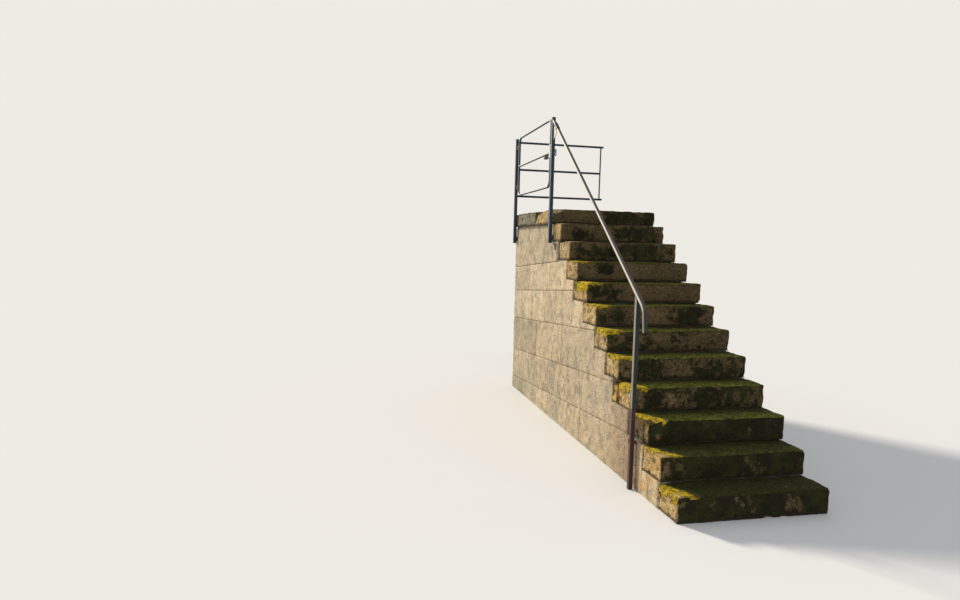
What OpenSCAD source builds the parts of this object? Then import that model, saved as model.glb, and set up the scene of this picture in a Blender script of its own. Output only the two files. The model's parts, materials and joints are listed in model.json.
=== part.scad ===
/* [Flight] */
// Height of each step block
rise = 195; // [170:1:210]
// Distance from one nosing to the next
going = 264; // [245:1:300]
// Width of the flight from the outer end faces to the barn side
flight_width = 1205; // [900:5:1500]
// Radius of the worn nosing of each block
nose_radius = 16; // [8:1:24]
// Radius of the worn arris round the end of each block
end_radius = 14; // [8:1:22]
// How far the third block stands back from the wall face
set_back = 28; // [20:1:60]
// Reach of the corner trodden off the third block
trodden_corner = 140; // [100:5:180]
// Width of the cleft broken into the end of the fourth block
cleft_width = 22; // [10:1:30]
// Depth of the hollow worn into the middle of each tread
tread_wear = 5; // [2:0.5:8]

/* [Landing] */
// Rise from the top block to the landing, which is the thickness of its slabs
slab_thickness = 165; // [140:1:195]
// How far the slabs stand out over the wall face
slab_overhang = 12; // [8:1:20]
// How far the front slab stands out over the top block
slab_nosing = 22; // [10:1:30]
// Length of the landing along the wall
landing_length = 1558; // [1400:10:1900]
// Share of the landing's length that the front slab takes
front_slab_share = 0.43; // [0.34:0.01:0.48]
// How deep the worn outer corner of the front slab goes
corner_wear = 76; // [40:2:110]

/* [Masonry] */
// Thickness of the outer wall and of the end wall
wall_thickness = 330; // [280:10:400]

/* [Posts] */
// Width of the square posts
post_size = 38; // [35:1:45]
// Wall of the square posts
post_wall = 3; // [2.5:0.1:4]
// Radius of the outer corners of the square posts
post_corner = 4; // [2:0.5:6]
// Height of the head and far posts above the landing
post_height = 978; // [900:2:1100]
// How far the head and far posts reach below the landing
post_drop = 379; // [340:1:420]
// Distance of the head post from the front edge of the landing
head_post_offset = 13; // [0:1:20]
// Distance of the far post from the far edge of the landing
far_post_offset = 44; // [30:1:60]
// Width of the foot post
foot_post_size = 34; // [32:1:45]
// Distance of the foot post from the bottom nosing
foot_post_place = 675; // [640:5:760]
// Width of the packers between posts and wall
packer_width = 60; // [50:1:80]
// Thickness of the strap round the foot post
strap_thickness = 4; // [3:0.5:6]
// Height of the strap round the foot post
strap_width = 30; // [20:1:40]

/* [Handrail] */
// Diameter of the handrail tube
rail_diameter = 34; // [32:1:38]
// Wall of the handrail tube
rail_wall = 3; // [2.5:0.1:4]
// How far the handrail meets the head post below its top
rail_head_drop = 41; // [30:1:90]
// Fall of the handrail in degrees
rail_slope = 38; // [36:0.1:40]
// Radius of the bend at the foot of the handrail
bend_radius = 140; // [90:5:170]
// Angle of the bend at the foot of the handrail
bend_angle = 45; // [30:1:50]
// Length of the straight tail below the bend
tail_length = 120; // [100:5:180]
// Thickness of the gusset plate under the handrail
gusset_thickness = 6; // [5:1:10]
// Height of the gusset plate down the head post
gusset_height = 185; // [150:5:220]
// Reach of the gusset plate from the head post
gusset_reach = 112; // [90:1:130]
// Distance of the sleeve from the head post along the handrail
sleeve_start = 84; // [60:1:110]
// Length of the sleeve that joins the handrail
sleeve_length = 92; // [70:1:110]

/* [Guard] */
// Diameter of the rails across the far end
guard_diameter = 27; // [25:1:30]
// How far the top rail lies below the top of the far post
guard_top_drop = 42; // [20:2:60]
// Height of the middle rail above the landing
guard_middle = 586; // [520:2:640]
// Height of the bottom rail above the landing
guard_bottom = 240; // [180:2:300]
// Width of the upright bar at the barn end
end_bar_width = 18; // [16:1:22]
// Distance of the upright bar from the barn side
end_bar_offset = 73; // [60:1:90]
// Gap between the guard rails and the barn side
guard_gap = 35; // [10:5:50]

/* [Gate] */
// Diameter of the gate tube
gate_diameter = 27; // [25:1:30]
// Radius of the rounded corners to the middle of the tube
gate_corner = 75; // [60:1:90]
// How far the middle of the top bar lies below the post tops
gate_top_drop = 9; // [0:1:30]
// Height of the middle bar above the landing
gate_middle = 611; // [560:2:660]
// Height of the bottom bar above the landing
gate_bottom = 242; // [200:2:300]
// Gap between the head post and the gate
gate_gap = 40; // [34:1:50]
// Diameter of the hinge pins
pin_diameter = 12; // [10:1:14]
// Gap round each hinge pin
pin_clearance = 0.1; // [0.05:0.01:0.1]
// Outside diameter of the hinge eyes
eye_diameter = 25; // [22:1:26]
// Height of each hinge eye
eye_height = 34; // [30:1:40]
// Distance of the pin line from the far post
pin_offset = 50; // [40:1:60]
// Length of the arm between each hinge eye and the gate
eye_arm = 38; // [20:1:50]
// How far the upper hinge sits below the gate's top bar
hinge_upper_drop = 118; // [100:2:160]
// Height of the lower hinge above the landing
hinge_lower = 345; // [320:5:400]
// Height of the latch plate
latch_height = 150; // [100:5:160]
// Width of the latch plate
latch_width = 48; // [40:1:60]
// Length of the latch case
case_length = 135; // [110:5:160]
// Diameter of the latch bolt
bolt_diameter = 16; // [12:1:18]

/* [Hidden] */
step_count = 11;
// how far the tail of each block runs in under the next one
laps = [16, 26, 40, 100, 16, 20, 60, 96, 46, 84, 40];
// how far the outer end of each block stands behind the wall face
ends = [0, 4, set_back, 0, 6, 3, 0, 10, 2, 14, 0];
// how far the front of each block stands behind the nosing line
fronts = [0, 3, 0, 4, 0, 2, 5, 0, 3, 0, 2];
landing_front = step_count * going - slab_nosing;
landing_end = landing_front + landing_length;
wall_top = step_count * rise;
landing_top = wall_top + slab_thickness;
post_line = -slab_overhang - post_size / 2;
strap_edge = post_line - foot_post_size / 2 - strap_thickness;
sleeve_diameter = rail_diameter + 10;
left_edge = min(strap_edge, post_line - post_size / 2, post_line - sleeve_diameter / 2);
x_middle = (left_edge + flight_width) / 2;
y_middle = landing_end / 2;
head_post_y = landing_front + head_post_offset;
far_post_y = landing_end - far_post_offset;
post_base = landing_top - post_drop;
post_top = landing_top + post_height;
front_slab = landing_length * front_slab_share;
middle_slab = (landing_length - front_slab) / 2;
rail_head_height = post_height - rail_head_drop;
guard_top = post_height - guard_top_drop;
gate_top = post_height - gate_top_drop;
hinge_upper = gate_top - hinge_upper_drop;
stone_brown = [0.42, 0.37, 0.27];
stone_tan = [0.62, 0.55, 0.43];
stone_grey = [0.56, 0.54, 0.49];
steel_blue = [0.20, 0.24, 0.30];
steel_rust = [0.36, 0.20, 0.14];
steel_worn = [0.52, 0.50, 0.47];

// points of an arc, as a list
function arc(cx, cy, r, a0, a1, n) =
    [for (i = [0 : n]) [cx + r * cos(a0 + (a1 - a0) * i / n), cy + r * sin(a0 + (a1 - a0) * i / n)]];

// moves everything to the middle of the footprint
module placed() {
    translate([-x_middle, -y_middle, 0])
        children();
}

// worn block: x from its outer end, y from its nosing, z from its bed
module worn_block(w, len, h, nose, arris) {
    foot = 7;
    intersection() {
        rotate([90, 0, 90])
            linear_extrude(height = w)
                polygon(concat(
                    arc(foot, foot, foot, 270, 180, 2),
                    arc(nose, h - nose, nose, 180, 90, 4),
                    [[len, h], [len, 0]]));
        translate([0, len, 0])
            rotate([90, 0, 0])
                linear_extrude(height = len)
                    polygon(concat(
                        arc(foot, foot, foot, 270, 180, 2),
                        arc(arris, h - arris, arris, 180, 90, 3),
                        [[w, h], [w, 0]]));
        linear_extrude(height = h)
            polygon(concat(
                [[0, len]],
                arc(arris, arris, arris, 180, 270, 3),
                [[w, 0], [w, len]]));
    }
}

// shallow trough that feet have worn: deepest at the nosing, run out where the next block stands
module tread_hollow(w, tread) {
    fall = atan(tread_wear / tread);
    half = w * 0.36;
    radius = (half * half + tread_wear * tread_wear) / (2 * tread_wear);
    overrun = 60;
    translate([w * 0.46, 0, rise - tread_wear + radius / cos(fall)])
        rotate([fall - 90, 0, 0])
            translate([0, 0, -radius * tan(fall) - overrun])
                cylinder(r = radius, h = tread / cos(fall) + 1.1 * overrun, $fn = 360);
}

// block number k counted from the ground
module step_block(k) {
    place = (k - 1) * going + fronts[k - 1];
    next_front = k < step_count ? k * going + fronts[k] : landing_front;
    w = flight_width - ends[k - 1];
    translate([ends[k - 1], place, (k - 1) * rise])
        difference() {
            worn_block(w, going + laps[k - 1] - fronts[k - 1], rise, nose_radius, end_radius);
            tread_hollow(w, next_front - place);
        }
}

// outline of the masonry below the blocks, seen from the side
function bed_profile() = concat(
    [[landing_end, 0], [landing_end, wall_top], [step_count * going + laps[step_count - 1], wall_top]],
    [for (k = [step_count - 1 : -1 : 1]) each [
        [(k + 1) * going + laps[k], k * rise],
        [k * going + laps[k - 1], k * rise]]],
    [[going + laps[0], 0]]);

module masonry(x0, x1, y0, y1) {
    intersection() {
        translate([x0, 0, 0])
            rotate([90, 0, 90])
                linear_extrude(height = x1 - x0)
                    polygon(bed_profile());
        translate([x0 - 1, y0, -1])
            cube([x1 - x0 + 2, y1 - y0, wall_top + 2]);
    }
}

module rounded_square(size, r) {
    square([size, size - 2 * r], center = true);
    square([size - 2 * r, size], center = true);
    for (x = [-1, 1], y = [-1, 1])
        translate([x * (size / 2 - r), y * (size / 2 - r)])
            circle(r = r, $fn = 24);
}

// square tube with a welded cap
module square_post(size, y, z0, z1) {
    cap = 4;
    inside = size - 2 * post_wall;
    translate([post_line, y, z0])
        difference() {
            linear_extrude(height = z1 - z0)
                rounded_square(size, post_corner);
            translate([-inside / 2, -inside / 2, -1])
                cube([inside, inside, z1 - z0 - cap + 1]);
        }
}

// the step blocks, one node each
module step_01() color(stone_brown) placed() step_block(1);
module step_02() color(stone_brown) placed() step_block(2);

// the outer front corner of this block is trodden off along its top
module step_03() {
    color(stone_brown) placed() difference() {
        step_block(3);
        translate([ends[2], 2 * going + fronts[2], 3 * rise])
            corner_loss(trodden_corner, 1.5 * trodden_corner, 0.28 * trodden_corner);
    }
}

// the end of this block is split by a cleft and worn away under the next block
module step_04() {
    tail = 4 * going + laps[3];
    cleft_depth = 68;
    cleft_foot = 40;
    lost_top = 34;
    lost_depth = 51;
    color(stone_tan) placed() difference() {
        step_block(4);
        translate([-10, 4 * going - 30, 3 * rise + cleft_foot])
            rotate([0, 0, 12])
                cube([cleft_depth + 10, cleft_width, rise]);
        translate([-1, 4 * going - 12, 4 * rise - lost_top])
            cube([lost_depth + 1, laps[3] + 20, lost_top + 6]);
        translate([-6, tail - 22, 3 * rise + cleft_foot + 20])
            rotate([0, 0, -35])
                translate([-40, 0, 0])
                    cube([60, 60, rise]);
    }
}

module step_05() color(stone_brown) placed() step_block(5);
module step_06() color(stone_brown) placed() step_block(6);
module step_07() color(stone_tan) placed() step_block(7);
module step_08() color(stone_brown) placed() step_block(8);
module step_09() color(stone_tan) placed() step_block(9);
module step_10() color(stone_brown) placed() step_block(10);
module step_11() color(stone_tan) placed() step_block(11);

// everything outside a plane through three points: a along x, b along y and c down from a corner
module corner_loss(a, b, c) {
    lean = atan(c * sqrt(1 / (a * a) + 1 / (b * b)));
    translate([a, 0, 0])
        rotate([0, lean, atan2(-1 / b, -1 / a)])
            translate([-1000, -1000, 0])
                cube([2000, 2000, 400]);
}

// the outer front corner of this slab is trodden down and its outer back corner is broken off
module landing_slab_front() {
    color(stone_brown) placed() difference() {
        translate([-slab_overhang, landing_front, wall_top])
            worn_block(flight_width + slab_overhang, front_slab, slab_thickness, nose_radius, end_radius);
        translate([-slab_overhang, landing_front, landing_top])
            corner_loss(2.4 * corner_wear, 2.2 * corner_wear, corner_wear);
        translate([-slab_overhang, landing_front + front_slab, landing_top]) {
            corner_loss(1.1 * corner_wear, -2.4 * corner_wear, slab_thickness - 4);
            corner_loss(2.6 * corner_wear, -6.4 * corner_wear, 0.8 * corner_wear);
        }
    }
}

module landing_slab_middle() {
    color(stone_tan) placed()
        translate([-slab_overhang, landing_front + front_slab, wall_top])
            flat_slab(flight_width + slab_overhang, middle_slab);
}

module landing_slab_far() {
    color(stone_grey) placed()
        translate([-slab_overhang, landing_front + front_slab + middle_slab, wall_top])
            flat_slab(flight_width + slab_overhang, middle_slab);
}

module flat_slab(w, len) {
    foot = 7;
    translate([0, len, 0])
        rotate([90, 0, 0])
            linear_extrude(height = len)
                polygon(concat(
                    arc(foot, foot, foot, 270, 180, 2),
                    arc(end_radius, slab_thickness - end_radius, end_radius, 180, 90, 3),
                    [[w, slab_thickness], [w, 0]]));
}

// masonry below the blocks
module side_wall() color(stone_grey) placed() masonry(0, wall_thickness, 0, landing_end);

module end_wall() {
    color(stone_grey) placed()
        masonry(wall_thickness, flight_width, landing_end - wall_thickness, landing_end);
}

module wall_core() {
    color(stone_tan) placed()
        masonry(wall_thickness, flight_width, 0, landing_end - wall_thickness);
}

// the square posts
module head_post() color(steel_blue) placed() square_post(post_size, head_post_y, post_base, post_top);
module far_post() color(steel_blue) placed() square_post(post_size, far_post_y, post_base, post_top);

// the foot post stops under the handrail, cut to its slope
module foot_post() {
    color(steel_rust) placed() difference() {
        square_post(foot_post_size, foot_post_place, 0, rail_z(foot_post_place) + 60);
        rail_line()
            translate([0, 0, -400])
                cylinder(d = rail_diameter, h = rail_run + 800, $fn = 48);
        translate([post_line, foot_post_place, rail_z(foot_post_place)])
            rotate([rail_slope, 0, 0])
                translate([-60, -200, -10])
                    cube([120, 400, 200]);
    }
}

module packer(y) {
    translate([-slab_overhang, y - packer_width / 2, post_base + 28])
        cube([slab_overhang, packer_width, 60]);
}

module head_post_packer() color(steel_rust) placed() packer(head_post_y);
module far_post_packer() color(steel_rust) placed() packer(far_post_y);

module foot_post_strap() {
    outer = foot_post_size + 2 * strap_thickness;
    color(steel_rust) placed()
        translate([strap_edge, foot_post_place - outer / 2, 1.95 * rise - strap_width / 2])
            difference() {
                cube([-strap_edge, outer, strap_width]);
                translate([strap_thickness, strap_thickness, -1])
                    cube([-strap_edge, foot_post_size, strap_width + 2]);
            }
}

// the handrail
rail_head_y = head_post_y - post_size / 2;
rail_head_z = landing_top + rail_head_height;
rail_foot_y = foot_post_place - 75;
rail_run = (rail_head_y - rail_foot_y) / cos(rail_slope);
function rail_z(y) = rail_head_z - (rail_head_y - y) * tan(rail_slope);

// z of the children runs down the handrail from the head post
module rail_line() {
    translate([post_line, rail_head_y, rail_head_z])
        rotate([90 + rail_slope, 0, 0])
            children();
}

module handrail() {
    color(steel_worn) placed() difference() {
        union() {
            rail_line()
                translate([0, 0, -30])
                    cylinder(d = rail_diameter, h = rail_run + 32, $fn = 48);
            rail_line()
                translate([0, -bend_radius, rail_run])
                    rotate([90, 0, 90])
                        rotate_extrude(angle = bend_angle, $fn = 96)
                            translate([bend_radius, 0])
                                circle(d = rail_diameter - 0.6, $fn = 48);
            rail_tail()
                translate([0, 0, -2])
                    cylinder(d = rail_diameter, h = tail_length + 2, $fn = 48);
        }
        rail_tail()
            translate([0, 0, 30])
                cylinder(d = rail_diameter - 2 * rail_wall, h = tail_length, $fn = 48);
        translate([post_line - 100, rail_head_y, rail_head_z - 100])
            cube([200, 200, 300]);
    }
}

// z of the children runs down the tail below the bend
module rail_tail() {
    rail_line()
        translate([0, -bend_radius, rail_run])
            rotate([bend_angle, 0, 0])
                translate([0, bend_radius, 0])
                    children();
}

module sleeve_body() {
    rail_line()
        translate([0, 0, sleeve_start])
            cylinder(d = sleeve_diameter, h = sleeve_length, $fn = 48);
}

module handrail_sleeve() {
    color(steel_worn) placed() difference() {
        sleeve_body();
        rail_line()
            cylinder(d = rail_diameter, h = sleeve_start + sleeve_length + 40, $fn = 48);
    }
}

// plate in the corner between the head post and the underside of the handrail
module gusset_plate() {
    under = rail_head_z - rail_diameter / 2 / cos(rail_slope);
    toe = 12;
    color(steel_worn) placed() difference() {
        translate([post_line - gusset_thickness / 2, 0, 0])
            rotate([90, 0, 90])
                linear_extrude(height = gusset_thickness)
                    polygon([
                        [rail_head_y, rail_head_z],
                        [rail_head_y, under - gusset_height],
                        [rail_head_y - toe, under - gusset_height],
                        [rail_head_y - gusset_reach, under - gusset_reach * tan(rail_slope) - toe],
                        [rail_head_y - gusset_reach, rail_head_z - gusset_reach * tan(rail_slope)]]);
        rail_line()
            translate([0, 0, -60])
                cylinder(d = rail_diameter, h = 400, $fn = 48);
        sleeve_body();
    }
}

// guard across the far end
module guard_rail(z, x1) {
    translate([-slab_overhang, far_post_y, landing_top + z])
        rotate([0, 90, 0])
            cylinder(d = guard_diameter, h = x1 + slab_overhang, $fn = 40);
}

module guard_top_rail() color(steel_blue) placed() guard_rail(guard_top, flight_width - guard_gap);

module guard_middle_rail() {
    color(steel_blue) placed()
        guard_rail(guard_middle, flight_width - end_bar_offset - end_bar_width / 2);
}

module guard_bottom_rail() color(steel_blue) placed() guard_rail(guard_bottom, flight_width - guard_gap);

module guard_end_bar() {
    color(steel_worn) placed() difference() {
        translate([flight_width - end_bar_offset - end_bar_width / 2, far_post_y - end_bar_width / 2,
            landing_top + guard_bottom])
            cube([end_bar_width, end_bar_width, guard_top - guard_bottom]);
        guard_rail(guard_top, flight_width);
        guard_rail(guard_bottom, flight_width);
    }
}

// the gate, drawn shut
pin_y = far_post_y - post_size / 2 - pin_offset;
hinge_stile_y = pin_y - eye_diameter / 2 - eye_arm - gate_diameter / 2;
latch_stile_y = head_post_y + post_size / 2 + gate_gap + gate_diameter / 2;

// pin that stands on a bracket from the post; the eye rests on the collar
module hinge_pin(z) {
    collar = 13;
    bracket = 14;
    translate([post_line, pin_y, landing_top + z - collar - 1])
        union() {
            cylinder(d = pin_diameter, h = collar + 1 + eye_height + 8, $fn = 32);
            cylinder(d = eye_diameter - 3, h = collar, $fn = 32);
            translate([-bracket / 2, 0, 0])
                cube([bracket, pin_offset, collar]);
        }
}

module hinge_pin_upper() color(steel_rust) placed() hinge_pin(hinge_upper);
module hinge_pin_lower() color(steel_rust) placed() hinge_pin(hinge_lower);

// eye with the flat arm that carries it on the gate
module gate_eye(z) {
    arm_thickness = 10;
    arm_inset = 4;
    translate([post_line, pin_y, landing_top + z])
        difference() {
            union() {
                cylinder(d = eye_diameter, h = eye_height, $fn = 48);
                translate([-arm_thickness / 2, hinge_stile_y - pin_y, arm_inset])
                    cube([arm_thickness, pin_y - hinge_stile_y, eye_height - 2 * arm_inset]);
            }
            translate([0, 0, -1])
                cylinder(d = pin_diameter + 2 * pin_clearance, h = eye_height + 2, $fn = 48);
            translate([0, hinge_stile_y - pin_y, -20])
                cylinder(d = gate_diameter, h = eye_height + 40, $fn = 40);
        }
}

module gate_eye_upper() color(steel_rust) placed() gate_eye(hinge_upper);
module gate_eye_lower() color(steel_rust) placed() gate_eye(hinge_lower);

// rounded tube ring: four straights joined by quarter bends
module gate_frame() {
    r = gate_corner;
    y0 = latch_stile_y;
    y1 = hinge_stile_y;
    z0 = landing_top + gate_bottom;
    z1 = landing_top + gate_top;
    color(steel_worn) placed() difference() {
        translate([post_line, 0, 0]) union() {
            for (y = [y0, y1])
                translate([0, y, z0 + r])
                    cylinder(d = gate_diameter, h = z1 - z0 - 2 * r, $fn = 40);
            for (z = [z0, z1])
                translate([0, y0 + r, z])
                    rotate([-90, 0, 0])
                        cylinder(d = gate_diameter, h = y1 - y0 - 2 * r, $fn = 40);
            gate_bend(y0 + r, z0 + r, 180);
            gate_bend(y1 - r, z0 + r, 270);
            gate_bend(y1 - r, z1 - r, 0);
            gate_bend(y0 + r, z1 - r, 90);
        }
        latch_bore(bolt_diameter + 1);
    }
}

module gate_bend(y, z, turn) {
    translate([0, y, z])
        rotate([90, 0, 90])
            rotate([0, 0, turn])
                rotate_extrude(angle = 90, $fn = 64)
                    translate([gate_corner, 0])
                        circle(d = gate_diameter, $fn = 40);
}

module gate_middle_bar() {
    color(steel_worn) placed() difference() {
        translate([post_line, latch_stile_y, landing_top + gate_middle])
            rotate([-90, 0, 0])
                cylinder(d = gate_diameter - 2, h = hinge_stile_y - latch_stile_y, $fn = 40);
        for (y = [latch_stile_y, hinge_stile_y])
            translate([post_line, y, landing_top + gate_middle - 40])
                cylinder(d = gate_diameter, h = 80, $fn = 40);
    }
}

// plate on the outer side of the latch stile, reaching towards the head post
module latch_plate() {
    thickness = 5;
    below = 62;
    color(steel_worn) placed() difference() {
        translate([post_line - gate_diameter / 2 - thickness + 1, latch_stile_y + 11 - latch_width,
            landing_top + gate_middle - below])
            cube([thickness, latch_width, latch_height]);
        translate([post_line, latch_stile_y, landing_top + gate_middle - 200])
            cylinder(d = gate_diameter, h = 400, $fn = 40);
    }
}

bolt_z = landing_top + gate_middle - gate_diameter / 2 - 19;
case_start = latch_stile_y + 44;

// case under the middle bar, bored for the bolt
module latch_case() {
    case_width = 25;
    case_height = 40;
    color(steel_blue) placed() difference() {
        translate([post_line - case_width / 2, case_start,
            landing_top + gate_middle - gate_diameter / 2 - case_height])
            cube([case_width, case_length, case_height + 1]);
        latch_bore(bolt_diameter);
        translate([post_line, latch_stile_y, landing_top + gate_middle])
            rotate([-90, 0, 0])
                cylinder(d = gate_diameter - 2, h = 400, $fn = 40);
    }
}

module latch_bore(d) {
    translate([post_line, latch_stile_y - 60, bolt_z])
        rotate([-90, 0, 0])
            cylinder(d = d, h = 360, $fn = 32);
}

// bolt, drawn back, with its handle turned in over the landing
module latch_bolt() {
    nose = 28;
    tail = 48;
    handle = 46;
    color(steel_rust) placed() union() {
        translate([post_line, latch_stile_y - nose, bolt_z])
            rotate([-90, 0, 0])
                cylinder(d = bolt_diameter, h = nose + 44 + case_length + tail, $fn = 32);
        translate([post_line, case_start + case_length + tail / 2, bolt_z])
            rotate([0, 90, 0])
                cylinder(d = bolt_diameter - 4, h = handle, $fn = 32);
    }
}

module latch_keeper() {
    keeper = [32, 4, 70];
    color(steel_blue) placed()
        translate([post_line - keeper.x / 2, head_post_y + post_size / 2, bolt_z - 30])
            difference() {
                cube(keeper);
                translate([keeper.x / 2, -1, 30])
                    rotate([-90, 0, 0])
                        cylinder(d = bolt_diameter + 4, h = keeper.y + 2, $fn = 32);
            }
}

// two links, one under the other, on the inner side of the head post
module chain_loops() {
    ring = 16.5;
    wire = 7;
    turned = 50;
    hang = 358;
    reach = (ring + wire / 2) * cos(turned) + 1;
    top_link = landing_top + post_height - hang;
    color(steel_rust) placed()
        translate([-slab_overhang + reach, head_post_y - 6, top_link])
            union() {
                for (drop = [0, 2 * ring + 2])
                    translate([0, 0, -drop])
                        rotate([90, 0, turned])
                            rotate_extrude($fn = 48)
                                translate([ring, 0])
                                    circle(d = wire, $fn = 24);
                translate([-reach, -16, -6])
                    cube([8, 12, 12]);
            }
}

step_01();
step_02();
step_03();
step_04();
step_05();
step_06();
step_07();
step_08();
step_09();
step_10();
step_11();
landing_slab_front();
landing_slab_middle();
landing_slab_far();
side_wall();
end_wall();
wall_core();
head_post();
far_post();
foot_post();
head_post_packer();
far_post_packer();
foot_post_strap();
handrail();
handrail_sleeve();
gusset_plate();
guard_top_rail();
guard_middle_rail();
guard_bottom_rail();
guard_end_bar();
hinge_pin_upper();
hinge_pin_lower();
gate_frame();
gate_middle_bar();
gate_eye_upper();
gate_eye_lower();
latch_plate();
latch_case();
latch_bolt();
latch_keeper();
chain_loops();
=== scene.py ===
import json
import math

import bmesh
import bpy
import numpy as np
from mathutils import Matrix, Vector


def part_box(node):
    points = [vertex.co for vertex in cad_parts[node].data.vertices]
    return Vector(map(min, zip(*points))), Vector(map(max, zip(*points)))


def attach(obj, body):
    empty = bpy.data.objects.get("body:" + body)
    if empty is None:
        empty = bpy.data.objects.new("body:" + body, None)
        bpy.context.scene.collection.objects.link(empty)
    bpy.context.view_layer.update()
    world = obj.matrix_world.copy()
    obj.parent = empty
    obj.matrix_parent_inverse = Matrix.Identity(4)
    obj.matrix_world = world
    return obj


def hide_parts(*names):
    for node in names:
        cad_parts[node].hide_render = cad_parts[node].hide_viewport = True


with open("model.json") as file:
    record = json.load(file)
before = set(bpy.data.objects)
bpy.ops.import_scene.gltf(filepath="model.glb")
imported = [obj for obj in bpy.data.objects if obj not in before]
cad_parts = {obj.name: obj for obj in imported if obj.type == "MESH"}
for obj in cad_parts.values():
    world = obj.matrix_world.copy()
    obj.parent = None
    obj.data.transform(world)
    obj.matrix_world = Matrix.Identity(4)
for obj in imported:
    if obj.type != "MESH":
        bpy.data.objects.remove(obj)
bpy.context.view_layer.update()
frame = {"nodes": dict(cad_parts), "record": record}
print("frame loaded")

# where the flight stands, read from the frame
stepNodes = ["step_%02d" % number for number in range(1, 12)]
slabNodes = ["landing_slab_front", "landing_slab_middle", "landing_slab_far"]
wallLow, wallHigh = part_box("side_wall")
outerX = wallLow.x
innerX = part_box("wall_core")[1].x
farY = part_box("end_wall")[1].y
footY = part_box("step_01")[0].y
bedTop = wallHigh.z


# ways to vary a surface: smooth noise on arrays of points, the same on every run
def latticeNoise(points, size, seed):
    place = points / size + seed * 17.31
    cell = np.floor(place).astype(np.int64)
    part = place - cell
    part = part * part * part * (part * (part * 6 - 15) + 10)
    total = np.zeros(len(points))
    for corner in range(8):
        step = np.array([corner & 1, corner >> 1 & 1, corner >> 2 & 1])
        key = (cell + step) * np.array([73856093, 19349663, 83492791])
        mixed = key[:, 0] ^ key[:, 1] ^ key[:, 2] ^ (seed * 2654435 + 97)
        mixed = (mixed ^ (mixed >> 13)) * 1274126177
        level = ((mixed ^ (mixed >> 16)) & 0xFFFF) / 32767.5 - 1
        total += np.where(step, part, 1 - part).prod(axis=1) * level
    return total


def softNoise(points, size, seed, layers=3):
    total, weight = 0, 0
    for layer in range(layers):
        share = 0.5**layer
        total = total + share * latticeNoise(points, np.asarray(size) * share, seed + 7 * layer)
        weight += share
    return total / weight * 1.5


def smoothStep(low, high, value):
    share = np.clip((value - low) / (high - low), 0, 1)
    return share * share * (3 - 2 * share)


def bell(value, middle, spread):
    return np.exp(-(((value - middle) / spread) ** 2))


def makePiece(name, points, faces, masks, material, body, smooth=True):
    mesh = bpy.data.meshes.new(name)
    mesh.from_pydata(np.asarray(points).tolist(), [], faces)
    mesh.polygons.foreach_set("use_smooth", [smooth] * len(mesh.polygons))
    return finishPiece(name, mesh, masks, material, body)


def finishPiece(name, mesh, masks, material, body):
    for key, values in masks.items():
        layer = mesh.attributes.new(key, "FLOAT", "POINT")
        layer.data.foreach_set("value", np.clip(values, 0, 1).astype(np.float32))
    mesh.materials.clear()
    mesh.materials.append(material)
    mesh.update()
    piece = bpy.data.objects.new(name, mesh)
    bpy.context.scene.collection.objects.link(piece)
    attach(piece, body)
    return piece


# small helpers for wiring shader nodes
def socketOf(sockets, name, kind=None):
    return [s for s in sockets if s.name == name and (kind is None or s.type == kind)][0]


def plug(tree, value, socket):
    if isinstance(value, (int, float)):
        socket.default_value = value
    elif isinstance(value, tuple):
        socket.default_value = (*value, 1.0) if len(value) < len(socket.default_value) else value
    else:
        tree.links.new(value, socket)


def calc(tree, operation, first, second=0.0):
    node = tree.nodes.new("ShaderNodeMath")
    node.operation = operation
    plug(tree, first, node.inputs[0])
    plug(tree, second, node.inputs[1])
    return node.outputs[0]


def times(tree, first, second):
    return calc(tree, "MULTIPLY", first, second)


def plus(tree, first, second):
    return calc(tree, "ADD", first, second)


def minus(tree, first, second):
    return calc(tree, "SUBTRACT", first, second)


def vectorCalc(tree, operation, first, second):
    node = tree.nodes.new("ShaderNodeVectorMath")
    node.operation = operation
    plug(tree, first, node.inputs[0])
    plug(tree, second, node.inputs["Scale" if operation == "SCALE" else 1])
    return node.outputs["Value" if operation == "DOT_PRODUCT" else "Vector"]


def blendColour(tree, amount, first, second, mode="MIX"):
    node = tree.nodes.new("ShaderNodeMix")
    node.data_type = "RGBA"
    node.blend_type = mode
    plug(tree, amount, socketOf(node.inputs, "Factor", "VALUE"))
    plug(tree, first, socketOf(node.inputs, "A", "RGBA"))
    plug(tree, second, socketOf(node.inputs, "B", "RGBA"))
    return socketOf(node.outputs, "Result", "RGBA")


def ramp(tree, value, low, high, smallest=0.0, largest=1.0):
    node = tree.nodes.new("ShaderNodeMapRange")
    node.interpolation_type = "SMOOTHSTEP"
    plug(tree, value, node.inputs["Value"])
    plug(tree, low, node.inputs["From Min"])
    plug(tree, high, node.inputs["From Max"])
    plug(tree, smallest, node.inputs["To Min"])
    plug(tree, largest, node.inputs["To Max"])
    return node.outputs["Result"]


def cloud(tree, place, scale, detail=3.0, roughness=0.55):
    node = tree.nodes.new("ShaderNodeTexNoise")
    plug(tree, place, node.inputs["Vector"])
    plug(tree, scale, node.inputs["Scale"])
    plug(tree, detail, node.inputs["Detail"])
    plug(tree, roughness, node.inputs["Roughness"])
    return node.outputs["Fac"]


def stretched(tree, place, scale):
    node = tree.nodes.new("ShaderNodeMapping")
    node.inputs["Scale"].default_value = scale
    plug(tree, place, node.inputs["Vector"])
    return node.outputs["Vector"]


def mask(tree, name):
    node = tree.nodes.new("ShaderNodeAttribute")
    node.attribute_name = name
    return node.outputs["Fac"]


def newGroup(name, inputs, outputs):
    group = bpy.data.node_groups.new(name, "ShaderNodeTree")
    for key, kind in inputs:
        group.interface.new_socket(key, in_out="INPUT", socket_type=kind)
    for key, kind in outputs:
        group.interface.new_socket(key, in_out="OUTPUT", socket_type=kind)
    return group, group.nodes.new("NodeGroupInput").outputs, group.nodes.new("NodeGroupOutput").inputs


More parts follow.
